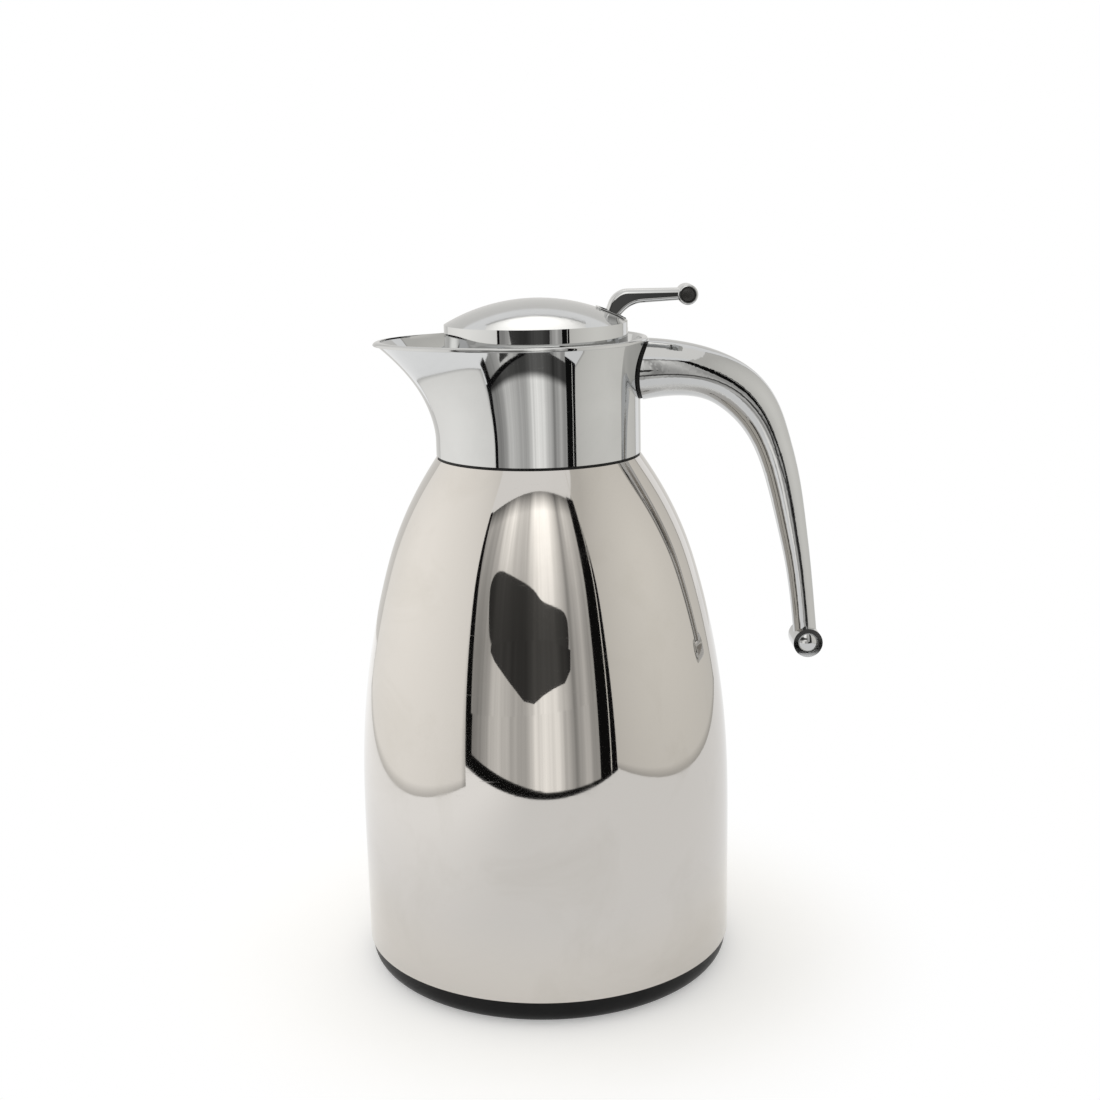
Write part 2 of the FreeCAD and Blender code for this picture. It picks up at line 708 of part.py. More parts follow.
def make_handle():
    """Handle with its bolster, the pad under its root, its screws and its end caps."""
    root = collar_form(HANDLE_PAD_T, collar_z, rim_z)
    skin = collar_form(0.0, collar_z, rim_z)
    end = handle_centres[-1]
    holes = handle_screw_holes(RUNNING_GAP)
    pockets = end_pockets(end, HANDLE_END_W, HANDLE_CAP_R + RUNNING_GAP, HANDLE_CAP_T + HANDLE_CAP_RECESS)
    bolster = cross_rod(HANDLE_END_R, end, HANDLE_END_W)
    handle = horn(0.0).cut(root).fuse(bolster).cut(holes + pockets)
    under_rim = rod(rim_r + HANDLE_PAD_T, UP * collar_z, UP * (rim_z - RIM_BEAD_H))
    pad = horn(HANDLE_PAD_INSET).common(root).common(under_rim).cut([skin] + handle_screw_holes(SCREW_GAP))
    screws = [screw(seat, ALONG_X, HANDLE_SCREW_LENGTH) for seat in handle_screw_seats()]
    caps = end_caps(end, HANDLE_END_W, HANDLE_CAP_R, HANDLE_CAP_T, HANDLE_CAP_RECESS)
    return handle, pad, Part.makeCompound(screws), caps


def lid_screw_seats():
    """Seats of the lid's screws, under the stopper's flange, with one opposite the lever."""
    seats = []
    for i in range(LID_SCREW_COUNT):
        angle = math.pi + 2 * math.pi * i / LID_SCREW_COUNT
        x, y = lid_screw_circle_r * math.cos(angle), lid_screw_circle_r * math.sin(angle)
        seats.append(Vector(x, y, stopper_flange_z))
    return seats


def lid_screw_holes(gap):
    return [screw_hole(seat, UP, LID_SCREW_LENGTH, gap) for seat in lid_screw_seats()]


def bracket_screw_seats():
    x = pivot.x + BRACKET_EAR_R - BRACKET_LENGTH + SCREW_HEAD_R + FIT_GAP
    z = cover_top_z + BRACKET_PLATE_T
    return [Vector(x, side * BRACKET_SCREW_GAP / 2, z) for side in (-1, 1)]


def bracket_screw_holes(gap):
    return [screw_hole(seat, -UP, BRACKET_SCREW_LENGTH, gap) for seat in bracket_screw_seats()]


def make_stopper():
    """Threaded stopper with its windows, its seal, and the seal and cover of its wet chamber."""
    body = turned([
        (VALVE_PORT_R, ledge_z + STOPPER_SPIGOT_GAP),
        (seal_bore_r - MOVING_GAP, ledge_z + STOPPER_SPIGOT_GAP),
        (seal_bore_r - MOVING_GAP, stopper_z),
        (stopper_r, stopper_z),
        (stopper_r, stopper_flange_z),
        (lid_seat_r, stopper_flange_z),
        (lid_seat_r, stopper_top_z),
        (stopper_bore_r, stopper_top_z),
        (stopper_bore_r, seat_z),
        (VALVE_PORT_R, seat_z),
    ])
    ridges = stopper_thread(stopper_r, STOPPER_THREAD_DEPTH, stopper_turns, 0.5)
    windows = []
    for i in range(WINDOW_COUNT):
        window = block(0, lid_r, WINDOW_W / 2, window_z, window_z + WINDOW_H)
        window = window.makeFillet(WINDOW_CORNER_R, edges_along(window, ALONG_X))
        window.rotate(ORIGIN, UP, 360.0 * (i + 0.5) / WINDOW_COUNT)
        windows.append(window)
    body = body.fuse(ridges).cut(windows + lid_screw_holes(SCREW_GAP))
    seal = turned([
        (seal_bore_r, ledge_z),
        (seal_r, ledge_z),
        (seal_r, stopper_z),
        (seal_bore_r, stopper_z),
    ])
    cover_seal = turned([
        (stopper_bore_r, stopper_top_z),
        (lid_seat_r, stopper_top_z),
        (lid_seat_r, cover_z),
        (stopper_bore_r, cover_z),
    ]).cut(lid_screw_holes(SCREW_GAP))
    guide_r = STEM_R + RUNNING_GAP
    guide_top_z = cover_top_z + STEM_GUIDE_H
    cover = turned([
        (guide_r, cover_bottom_z),
        (stopper_bore_r - FIT_GAP, cover_bottom_z),
        (stopper_bore_r - FIT_GAP, cover_z),
        (lid_seat_r, cover_z),
        (lid_seat_r, cover_top_z),
        (STEM_GUIDE_R, cover_top_z),
        (STEM_GUIDE_R, guide_top_z),
        (STEM_R + STEM_SEAL_W + FIT_GAP, guide_top_z),
        (STEM_R + STEM_SEAL_W + FIT_GAP, guide_top_z - STEM_SEAL_T),
        (guide_r, guide_top_z - STEM_SEAL_T),
    ]).cut(lid_screw_holes(SCREW_GAP) + bracket_screw_holes(RUNNING_GAP))
    stem_seal = turned([
        (guide_r, guide_top_z - STEM_SEAL_T),
        (STEM_R + STEM_SEAL_W, guide_top_z - STEM_SEAL_T),
        (STEM_R + STEM_SEAL_W, guide_top_z),
        (guide_r, guide_top_z),
    ])
    return body, seal, cover_seal, cover, stem_seal


def make_lid():
    """Chrome ring and dome, with the framed slot of the lever and the bosses of the lid's screws.

    The slot runs out through the ring's upper edge, where the lever comes down when it is pressed.
    """
    ring = rod(lid_r, UP * stopper_flange_z, UP * (lid_ring_z + lid_r))
    bore = rod(lid_bore_r, UP * stopper_flange_z, UP * (lid_ring_z + lid_r))
    crown = Part.makeSphere(LID_CROWN_R, UP * lid_centre_z)
    vault = bore.common(Part.makeSphere(LID_CROWN_R - LID_WALL, UP * lid_centre_z))
    full = ring.common(crown)
    slot_x, slot_y, slot_z = pivot.x - HUB_R - MOVING_GAP, HUB_W / 2 + MOVING_GAP, lid_ring_z - SLOT_NOTCH
    slot = block(slot_x, lid_r + LID_WALL, slot_y, slot_z, lid_top_z)
    slot = slot.makeFillet(SLOT_CORNER_R, edges_along(slot, UP))
    frame = block(slot_x - SLOT_FRAME_W, lid_r, slot_y + SLOT_FRAME_W, slot_z, lid_top_z)
    frame = frame.makeFillet(SLOT_CORNER_R + SLOT_FRAME_W, edges_along(frame, UP))
    frame = frame.common(Part.makeSphere(LID_CROWN_R + SLOT_FRAME_RISE, UP * lid_centre_z)).common(ring)
    bosses = []
    for seat in lid_screw_seats():
        foot = Vector(seat.x, seat.y, cover_top_z)
        bosses.append(rod(LID_BOSS_R, foot, foot + UP * lid_r).common(full))
    cap = full.cut(vault).fuse(frame.cut(vault)).fuse(bosses)
    cap = cap.cut([slot] + lid_screw_holes(RUNNING_GAP))
    screws = [screw(seat, UP, LID_SCREW_LENGTH) for seat in lid_screw_seats()]
    return cap.removeSplitter(), Part.makeCompound(screws)


def make_valve():
    """Stem, plug and soft washer of the valve, and the crosshead nut on top of the stem."""
    spigot_r = VALVE_PORT_R - VALVE_SPIGOT_GAP
    spigot_z = stem_bottom_z + STEM_FOOT_T
    foot = rod(STEM_FOOT_R, UP * stem_bottom_z, UP * spigot_z)
    stem = rod(STEM_R, UP * stem_bottom_z, UP * stem_top_z).fuse(foot)
    plug = turned([
        (STEM_R, spigot_z),
        (spigot_r, spigot_z),
        (spigot_r, plug_z),
        (valve_r, plug_z),
        (valve_r, plug_top_z),
        (VALVE_BOSS_R, plug_top_z),
        (VALVE_BOSS_R, plug_top_z + VALVE_BOSS_H),
        (STEM_R, plug_top_z + VALVE_BOSS_H),
    ])
    washer = turned([
        (spigot_r, seat_z),
        (valve_r, seat_z),
        (valve_r, plug_z),
        (spigot_r, plug_z),
    ])
    nut = turned([
        (STEM_R, stem_nut_z),
        (STEM_NUT_R, stem_nut_z),
        (STEM_NUT_R, stem_top_z),
        (STEM_R, stem_top_z),
    ])
    return stem.removeSplitter(), plug, washer, nut


def biarc(start, start_way, end, end_way):
    """Two tangent arcs between two points with given directions."""
    chord = end - start
    ways = start_way + end_way
    square = 2 * (1 - start_way.dot(end_way))
    linear = 2 * chord.dot(ways)
    reach = (math.sqrt(linear ** 2 + 4 * square * chord.dot(chord)) - linear) / (2 * square)
    first, last = start + start_way * reach, end - end_way * reach
    joint = (first + last) * 0.5
    arcs = []
    for a, corner, b in ((start, first, joint), (joint, last, end)):
        middle = (a + b) * 0.5
        bow = corner - middle
        half_chord = (b - a).Length / 2
        sagitta = half_chord * math.tan(math.atan2(bow.Length, half_chord) / 2)
        arcs.append(Part.Arc(a, middle + bow.normalize() * sagitta, b).toShape())
    return arcs


def make_spring():
    """Return spring between the plug and the cover: one wire, with close end turns."""
    low, high = plug_top_z + SPRING_WIRE_R, cover_bottom_z - SPRING_WIRE_R
    middle_pitch = (high - low - 2 * SPRING_END_PITCH) / (SPRING_TURNS - 2)
    quarters = 4 * SPRING_TURNS
    points, ways = [], []
    z = low
    for i in range(quarters + 1):
        angle = math.pi / 2 * i
        inner_turn = 4 <= i < quarters - 4
        pitch = middle_pitch if inner_turn else SPRING_END_PITCH
        slope = (middle_pitch + SPRING_END_PITCH) / 2 if i in (4, quarters - 4) else pitch
        points.append(Vector(SPRING_R * math.cos(angle), SPRING_R * math.sin(angle), z))
        way = Vector(-SPRING_R * math.sin(angle), SPRING_R * math.cos(angle), slope / (2 * math.pi))
        ways.append(way.normalize())
        z += pitch / 4
    edges = []
    for i in range(quarters):
        edges += biarc(points[i], ways[i], points[i + 1], ways[i + 1])
    path = Part.Wire(edges)
    section = Part.Wire(Part.makeCircle(SPRING_WIRE_R, points[0], ways[0]))
    spring = path.makePipeShell([section], True, False)
    gaps = []
    samples = path.discretize(40 * SPRING_TURNS)
    for i, a in enumerate(samples):
        gaps += [(a - b).Length - 2 * SPRING_WIRE_R for b in samples[i + 20:]]
    print("least gap of the spring's wire to itself, mm:", round(min(gaps), 2))
    wire_volume = math.pi * SPRING_WIRE_R ** 2 * path.Length
    print("spring volume over section times length:", round(spring.Volume / wire_volume, 4))
    return spring


def make_lever():
    """Thumb lever with its hub and lifting fork, its bracket, pin, screws and end caps."""
    tip = Vector(pivot.x + LEVER_REACH, 0, lid_ring_z + LEVER_TIP_RISE)
    blade_top = tip.z + LEVER_BLADE_RISE
    blade_bottom = blade_top - LEVER_BLADE_T
    blade = plate([
        (pivot.x - neck_in, pivot.z),
        (pivot.x - neck_in, pivot.z + HUB_R, HUB_R),
        (pivot.x + LEVER_HEEL_OUT, blade_top, LEVER_HEEL_R),
        (tip.x, blade_top),
        (tip.x, blade_bottom),
        (pivot.x + LEVER_BELLY_OUT, blade_bottom - LEVER_BELLY_DROP, LEVER_BELLY_R),
        (pivot.x + LEVER_NECK_OUT, pivot.z + HUB_R, HUB_R),
        (pivot.x + LEVER_NECK_OUT, pivot.z),
    ], -LEVER_W / 2, LEVER_W / 2)
    long_edges = []
    for edge in blade.Edges:
        middle = edge.CenterOfMass
        on_side = abs(abs(middle.y) - LEVER_W / 2) < FIT_GAP
        if on_side and middle.z > pivot.z + FIT_GAP and middle.x < tip.x - FIT_GAP:
            long_edges.append(edge)
    blade = blade.makeFillet(LEVER_EDGE_R, long_edges)
    hub = cross_rod(HUB_R, pivot, HUB_W)
    arm = block(0, pivot.x, LEVER_W / 2, pad_z - LEVER_ARM_T / 2, pad_z + LEVER_ARM_T / 2)
    pads = cross_rod(LEVER_PAD_R, UP * pad_z, LEVER_W)
    fork = block(-FORK_DEPTH, FORK_DEPTH, STEM_R + LOOSE_GAP, pad_z - HUB_R, pad_z + HUB_R)
    knob = cross_rod(LEVER_TIP_R, tip, LEVER_TIP_W)
    knob = knob.makeFillet(LEVER_TIP_EDGE_R, [edge for edge in knob.Edges if edge.isClosed()])
    lever = blade.fuse([hub, arm, pads, knob])
    pockets = end_pockets(tip, LEVER_TIP_W, LEVER_CAP_R + RUNNING_GAP, LEVER_CAP_T + LEVER_CAP_RECESS)
    lever = lever.cut([fork, cross_rod(PIN_R + RUNNING_GAP, pivot, HUB_W)] + pockets).removeSplitter()
    caps = end_caps(tip, LEVER_TIP_W, LEVER_CAP_R, LEVER_CAP_T, LEVER_CAP_RECESS)
    ear_y = HUB_W / 2 + MOVING_GAP
    outer_y = ear_y + BRACKET_EAR_T
    x_high = pivot.x + BRACKET_EAR_R
    x_low = x_high - BRACKET_LENGTH
    bracket = block(x_low, x_high, outer_y, cover_top_z, cover_top_z + BRACKET_PLATE_T)
    for side in (-1, 1):
        ear = plate([
            (pivot.x - 2 * BRACKET_EAR_R, cover_top_z),
            (x_high, cover_top_z),
            (x_high, pivot.z + BRACKET_EAR_R, BRACKET_EAR_R - FIT_GAP),
            (pivot.x - BRACKET_EAR_R, pivot.z + BRACKET_EAR_R, BRACKET_EAR_R - FIT_GAP),
        ], side * ear_y, side * outer_y)
        bracket = bracket.fuse(ear)
    bracket = bracket.cut([cross_rod(PIN_R, pivot, 2 * outer_y)] + bracket_screw_holes(SCREW_GAP))
    pin = cross_rod(PIN_R, pivot, 2 * outer_y)
    for side in (-1, 1):
        face = pivot + ALONG_Y * (side * outer_y)
        pin = pin.fuse(rod(PIN_HEAD_R, face, face + ALONG_Y * (side * PIN_HEAD_T)))
    screws = [screw(seat, -UP, BRACKET_SCREW_LENGTH) for seat in bracket_screw_seats()]
    return lever, caps, bracket.removeSplitter(), pin.removeSplitter(), Part.makeCompound(screws)


parts = {"body_shell": make_body_shell()}
parts["base_cap"], parts["base_thread_ring"] = make_foot()
parts["flask_inner"], parts["flask_outer"] = make_flask()
parts["flask_cushion"] = turned([
    (CUSHION_BORE_R, base_floor_z),
    (CUSHION_R, base_floor_z),
    (CUSHION_R, flask_bottom_z),
    (CUSHION_BORE_R, flask_bottom_z),
])
parts["neck_sleeve"], parts["sleeve_seal"], parts["neck_nut"], parts["flask_lip_seal"] = make_neck()
parts["collar_gasket"] = turned([
    (neck_bore_r, NECK_Z),
    (NECK_R - GASKET_INSET, NECK_Z),
    (NECK_R - GASKET_INSET, collar_z),
    (neck_bore_r, collar_z),
])
parts["collar"] = make_collar()
parts["handle"], parts["handle_pad"], parts["handle_screws"], parts["handle_end_caps"] = make_handle()
stopper_names = ("stopper_body", "stopper_seal", "cover_seal", "stopper_cover", "stem_seal")
parts.update(zip(stopper_names, make_stopper()))
parts["lid_cap"], parts["lid_screws"] = make_lid()
parts["valve_stem"], parts["valve_plug"], parts["valve_washer"], parts["stem_nut"] = make_valve()
parts["return_spring"] = make_spring()
lever_names = ("lever", "lever_end_caps", "lever_bracket", "lever_pin", "bracket_screws")
parts.update(zip(lever_names, make_lever()))

os.makedirs("parts", exist_ok=True)
for name, shape in parts.items():
    shape.exportStep("parts/" + name + ".step")
    volume = round(shape.Volume / 1000, 2)
    print(name, "solids", len(shape.Solids), "valid", shape.isValid(), "cm3", volume)
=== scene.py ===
"""Insulated coffee pot: finishes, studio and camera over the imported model. Metres, +Z up, spout to -X."""
import math

import bmesh
import bpy
from mathutils import Matrix, Vector


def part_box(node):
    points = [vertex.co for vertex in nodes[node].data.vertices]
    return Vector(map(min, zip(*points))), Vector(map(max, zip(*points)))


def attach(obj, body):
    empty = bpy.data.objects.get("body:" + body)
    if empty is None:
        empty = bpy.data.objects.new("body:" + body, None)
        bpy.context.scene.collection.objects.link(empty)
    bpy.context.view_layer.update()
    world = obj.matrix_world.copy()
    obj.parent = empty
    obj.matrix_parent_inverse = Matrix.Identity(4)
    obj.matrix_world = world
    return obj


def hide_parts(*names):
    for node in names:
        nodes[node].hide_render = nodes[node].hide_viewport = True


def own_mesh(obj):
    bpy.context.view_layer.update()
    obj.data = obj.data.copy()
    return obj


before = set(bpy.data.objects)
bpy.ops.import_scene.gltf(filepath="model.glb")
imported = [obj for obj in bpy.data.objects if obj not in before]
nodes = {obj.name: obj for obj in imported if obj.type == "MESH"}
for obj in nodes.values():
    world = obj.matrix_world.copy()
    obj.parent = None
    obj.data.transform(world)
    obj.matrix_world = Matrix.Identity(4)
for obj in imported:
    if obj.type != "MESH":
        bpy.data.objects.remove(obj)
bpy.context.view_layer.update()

# Camera
# A short telephoto lens on a stand, a little above the rim, looking down at the pot from its side.
# It hangs slightly askew, so the pot's axis leans to the left in the picture.
CAMERA_PLACE = Vector((0.0011, -0.5828, 0.2855))
CAMERA_YAW = 0.0039
CAMERA_PITCH = 0.2193
CAMERA_ROLL = -0.0211
CAMERA_LENS = 52.84
CAMERA_SENSOR_W = 36
CAMERA_CLIP = 0.01

ahead = Vector((
    math.sin(CAMERA_YAW) * math.cos(CAMERA_PITCH),
    math.cos(CAMERA_YAW) * math.cos(CAMERA_PITCH),
    -math.sin(CAMERA_PITCH),
))
level = Vector((math.cos(CAMERA_YAW), -math.sin(CAMERA_YAW), 0))
above = level.cross(ahead)
right = level * math.cos(CAMERA_ROLL) + above * math.sin(CAMERA_ROLL)
upward = above * math.cos(CAMERA_ROLL) - level * math.sin(CAMERA_ROLL)
camera = bpy.data.objects.new("camera", bpy.data.cameras.new("camera"))
camera.data.lens = CAMERA_LENS
camera.data.sensor_width = CAMERA_SENSOR_W
camera.data.clip_start = CAMERA_CLIP
turned = Matrix((right, upward, -ahead)).transposed().to_4x4()
camera.matrix_world = Matrix.Translation(CAMERA_PLACE) @ turned
bpy.context.scene.collection.objects.link(camera)
bpy.context.scene.camera = camera
bpy.context.scene.view_settings.view_transform = "Standard"

# White room
# Paper white all round, seen by the camera, by metal and by glass.
# What reaches matt surfaces is dimmer, so that the floor keeps the pot's soft shadow.
ROOM_WHITE = (1.0, 1.0, 1.0, 1)
ROOM_FILL = 0.45


def node(tree, kind, **values):
    """A shader node with its properties and inputs set by name, or linked where the value is a socket."""
    made = tree.nodes.new("ShaderNode" + kind)
    for name, value in values.items():
        if hasattr(made, name):
            setattr(made, name, value)
            continue
        inlet = made.inputs[int(name[1:])] if name[1:].isdigit() else made.inputs[name.replace("_", " ")]
        if isinstance(value, bpy.types.NodeSocket):
            tree.links.new(value, inlet)
        else:
            inlet.default_value = value
    return made


def seen_directly(tree):
    """1 for rays from the camera, and for those that metal or glass sends on."""
    path = node(tree, "LightPath")
    total = path.outputs["Is Camera Ray"]
    for name in ("Is Glossy Ray", "Is Transmission Ray"):
        add = node(tree, "Math", operation="ADD", use_clamp=True, i0=total, i1=path.outputs[name])
        total = add.outputs[0]
    return total


world = bpy.data.worlds.new("white room")
world.use_nodes = True
bpy.context.scene.world = world
room = world.node_tree
glow = room.nodes["Background"]
glow.inputs["Color"].default_value = ROOM_WHITE
room_level = node(room, "MapRange", Value=seen_directly(room), To_Min=ROOM_FILL, To_Max=1.0)
room.links.new(room_level.outputs[0], glow.inputs["Strength"])

# Table top
# A sheet of white paper under the pot, which takes its soft shadow.
# Away from the pot it glows evenly to the camera, so that it meets the white behind it with no edge.
TABLE_R = 1.2
TABLE_SIDES = 96
TABLE_COLOUR = (0.80, 0.80, 0.795, 1)
TABLE_GLOW = 0.34
SHADOW_NEAR = 0.085
SHADOW_FAR = 0.155
MIRRORED_LEFT = -0.26
MIRRORED_RIGHT = -0.04
PAINTED_LIGHT_LEFT = 1.15
PAINTED_SHADE_RIGHT = 0.93


def new_material(name):
    """An empty material: the material, its node tree and its output node."""
    material = bpy.data.materials.new(name)
    material.use_nodes = True
    tree = material.node_tree
    tree.nodes.clear()
    return material, tree, tree.nodes.new("ShaderNodeOutputMaterial")


def stage_piece(name, bm, material):
    """A studio card or sheet, which is no part of the pot."""
    mesh = bpy.data.meshes.new(name)
    bm.to_mesh(mesh)
    bm.free()
    made = bpy.data.objects.new(name, mesh)
    made.data.materials.append(material)
    bpy.context.scene.collection.objects.link(made)
    return made


paper, tree, out = new_material("table paper")
place = node(tree, "TexCoord").outputs["Object"]
distance = node(tree, "VectorMath", operation="LENGTH", i0=place).outputs["Value"]
away = node(tree, "MapRange", interpolation_type="SMOOTHSTEP", Value=distance,
            From_Min=SHADOW_NEAR, From_Max=SHADOW_FAR)
matt = node(tree, "BsdfDiffuse", Color=TABLE_COLOUR)
direct = seen_directly(tree)
soft_level = node(tree, "Math", operation="MULTIPLY", i0=direct, i1=TABLE_GLOW)
soft_glow = node(tree, "Emission", Strength=soft_level.outputs[0])
near = node(tree, "AddShader", i0=matt.outputs[0], i1=soft_glow.outputs[0])
# In the metal's reflections the far paper is painted brighter on the left and dimmer on the right: painted
# light from the left and painted shade to the right of the pot.
from_left = node(tree, "SeparateXYZ", Vector=place).outputs["X"]
painted_side_light = node(tree, "MapRange", interpolation_type="SMOOTHSTEP", Value=from_left,
                From_Min=MIRRORED_LEFT, From_Max=MIRRORED_RIGHT,
                To_Min=PAINTED_LIGHT_LEFT, To_Max=PAINTED_SHADE_RIGHT)
shown = node(tree, "LightPath").outputs["Is Camera Ray"]
white_level = node(tree, "Mix", i0=shown, i2=painted_side_light.outputs[0], i3=1.0)
white = node(tree, "Emission", Strength=white_level.outputs[0])
far_away = node(tree, "Math", operation="MULTIPLY", i0=away.outputs[0], i1=direct)
sheet = node(tree, "MixShader", i0=far_away.outputs[0], i1=near.outputs[0], i2=white.outputs[0])
tree.links.new(sheet.outputs[0], out.inputs["Surface"])
disc = bmesh.new()
bmesh.ops.create_circle(disc, cap_ends=True, segments=TABLE_SIDES, radius=TABLE_R)
stage_piece("table_top", disc, paper)

# Light tent
# Two panels stand beside the pot, and a streaked curtain with an opening for the camera hangs before it.
# A sill hides the curtain's shaded foot from the jacket. A ceiling and a framed lamp close the tent above.
TENT_TOP = 0.85
CLOTH_COLOUR = (1.0, 0.985, 0.955, 1)
CARD_STEP = 0.002

PANEL_BACK = 0.38
PANEL_FALL = 0.28
PANEL_BRIGHT_R = 0.05
PANEL_DIM_R = 0.50
PANEL_HEM = 0.60
PANEL_HEM_SHARE = 0.92
PANEL_HEM_H = 0.012
LEFT_X = -0.305
LEFT_FRONT = -0.301
LEFT_LEAN = 0.065
LEFT_MIDDLE_Z = 0.22
LEFT_LEVEL = 1.25
RIGHT_X = 0.362
RIGHT_FRONT = -0.51
RIGHT_MIDDLE_Z = 0.25
RIGHT_LEVEL = 0.95
RIGHT_COLOUR = (1.0, 0.98, 0.93, 1)

CURTAIN_Y = -0.40
CURTAIN_LEFT = -0.40
CURTAIN_RIGHT = 0.238
CURTAIN_TOP = 0.68
CURTAIN_LEVEL = 1.6
CURTAIN_DIM_Z = 0.20
CURTAIN_DIM = 0.90
CURTAIN_BRIGHT_Z = 0.55
CURTAIN_BRIGHT = 1.45
CURTAIN_TOP_SHADE_H = 0.11
CURTAIN_TOP_SHADE = 0.22
CURTAIN_SHADES = (
    (0.01, 0.27), (0.15, 0.27), (0.206, 0.50), (0.332, 0.69), (0.41, 0.51), (0.509, 0.42), (0.573, 1.0),
    (0.633, 0.91), (0.725, 0.78), (0.756, 0.60), (0.821, 0.25), (0.891, 0.60), (0.949, 0.38), (0.99, 0.36),
)
FOLD_SCALE = (30, 1, 0.9)
FOLD_DEEP = 0.30
FOLD_RAISED = 0.68
SHADE_IN_FOLDS = 0.68
FOOT_SHADE_Z = 0.060
FOOT_LIGHT_Z = 0.090
FOOT_SHADE = 0.13
FOOT_SLANT = 0.07

SILL_Y = -0.23
SILL_SPREAD = 0.535
SILL_LOW = 0.049
SILL_LOW_LEFT = 0.064
SILL_TOP = 0.118
SILL_TOP_LEFT = 0.104
SILL_POST_LOW = 0.05

GAP_COLOUR = (0.006, 0.006, 0.006, 1)
GAP_LEFT = -0.415
GAP_LEFT_W = 0.05
GAP_LEFT_LEAN = 0.085
GAP_RIGHT = 0.352
GAP_RIGHT_LEAN = 0.05
GAP_TOP = 0.69
TABLE_EDGE_H = 0.008
TABLE_EDGE_LEFT_H = 0.034
POLE_X = 0.303
POLE_W = 0.006
POLE_LEVEL = 0.8

OPENING_LEVEL = 0.12
OPENING_ROUNDING = 3
OPENING_OUTLINE = (
    (-0.248, 0.363), (-0.142, 0.324), (-0.04, 0.289), (-0.003, 0.261), (0.048, 0.254), (0.114, 0.244),
    (0.117, 0.210), (0.109, 0.186), (0.062, 0.177), (-0.017, 0.171), (-0.059, 0.169), (-0.109, 0.172),
    (-0.189, 0.187), (-0.265, 0.203), (-0.287, 0.252), (-0.300, 0.323),
)
TIP_Y = -0.15
TIP_SPREAD = 0.316
TIP_ROUNDING = 1
TIP_OUTLINE = (
    (-0.082, 0.156), (-0.0815, 0.148), (-0.047, 0.1315), (-0.0185, 0.1165), (0.005, 0.126),
    (0.036, 0.132), (0.0395, 0.156),
)

CEILING_HALF = 0.36
CEILING_LEVEL = 1.0
BACK_CARD_LEFT = -0.55
BACK_CARD_RIGHT = 0.32
BACK_CARD_Y = 0.56
BACK_CARD_TOP = 0.66
BACK_CARD_LEVEL = 0.78
LAMP_Z = 0.80
LAMP_HALF = 0.22
LAMP_FRONT = 0.10
LAMP_BACK = 0.49
LAMP_MIDDLE = (-0.01, 0.38, LAMP_Z)
LAMP_CORE_R = 0.052
LAMP_REACH = 0.26
LAMP_LEVEL = 2.0
LAMP_EDGE_LEVEL = 1.0
LAMP_FRAME_W = 0.035
LAMP_FRAME_LEVEL = 0.4


def card(name, corners, material):
    """A flat card through its corners, which the camera looks through."""
    bm = bmesh.new()
    bm.faces.new([bm.verts.new(corner) for corner in corners])
    stage_piece(name, bm, material).visible_camera = False


def upright(start, end, low, high):
    """Corners of an upright card between two places on the table."""
    return [(*start, low), (*end, low), (*end, high), (*start, high)]


def across(y, outline):
    """Corners of an upright card across the view, from its outline in x and z."""
    return [Vector((x, y, z)) for x, z in outline]


def overhead(z, half_width, front, back):
    """Corners of a level card above the pot."""
    return [(-half_width, front, z), (half_width, front, z), (half_width, back, z), (-half_width, back, z)]


def rounded(corners, passes):
    """Corners of a card with each corner cut back to the quarters of its sides, pass by pass."""
    for _ in range(passes):
        sides = list(zip(corners, corners[1:] + corners[:1]))
        corners = [start.lerp(end, share) for start, end in sides for share in (0.25, 0.75)]
    return corners


def glowing(name, colour, strength):
    """A material that glows: the material, its tree and the inlet of its strength."""
    material, tree, out = new_material(name)
    lamp = node(tree, "Emission", Color=colour, Strength=strength)
    tree.links.new(lamp.outputs[0], out.inputs["Surface"])
    return material, tree, lamp.inputs["Strength"]


def even_light(name, colour, strength):
    """A card's light, the same all over."""
    return glowing(name, colour, strength)[0]


def soft_light(name, colour, strength, middle, half_width):
    """A panel's light, strongest in its middle, with a shaded hem at its sides and foot."""
    material, tree, strength_inlet = glowing(name, colour, strength)
    place = node(tree, "TexCoord").outputs["Object"]
    off = node(tree, "VectorMath", operation="DISTANCE", i0=place, i1=middle).outputs["Value"]
    level = node(tree, "MapRange", Value=off, From_Min=PANEL_BRIGHT_R, From_Max=PANEL_DIM_R,
                 To_Min=strength, To_Max=strength * (1 - PANEL_FALL))
    side = node(tree, "SeparateXYZ", Vector=place)
    shift = node(tree, "Math", operation="SUBTRACT", i0=side.outputs["Y"], i1=middle[1])
    aside = node(tree, "Math", operation="ABSOLUTE", i0=shift.outputs[0])
    side_hem = node(tree, "MapRange", Value=aside.outputs[0], From_Min=half_width * PANEL_HEM_SHARE,
                    From_Max=half_width, To_Min=1.0, To_Max=PANEL_HEM)
    foot_hem = node(tree, "MapRange", Value=side.outputs["Z"], From_Min=0.0, From_Max=PANEL_HEM_H,
                    To_Min=PANEL_HEM)
    hem = node(tree, "Math", operation="MULTIPLY", i0=side_hem.outputs[0], i1=foot_hem.outputs[0])
    shaded = node(tree, "Math", operation="MULTIPLY", i0=level.outputs[0], i1=hem.outputs[0])
    tree.links.new(shaded.outputs[0], strength_inlet)
    return material


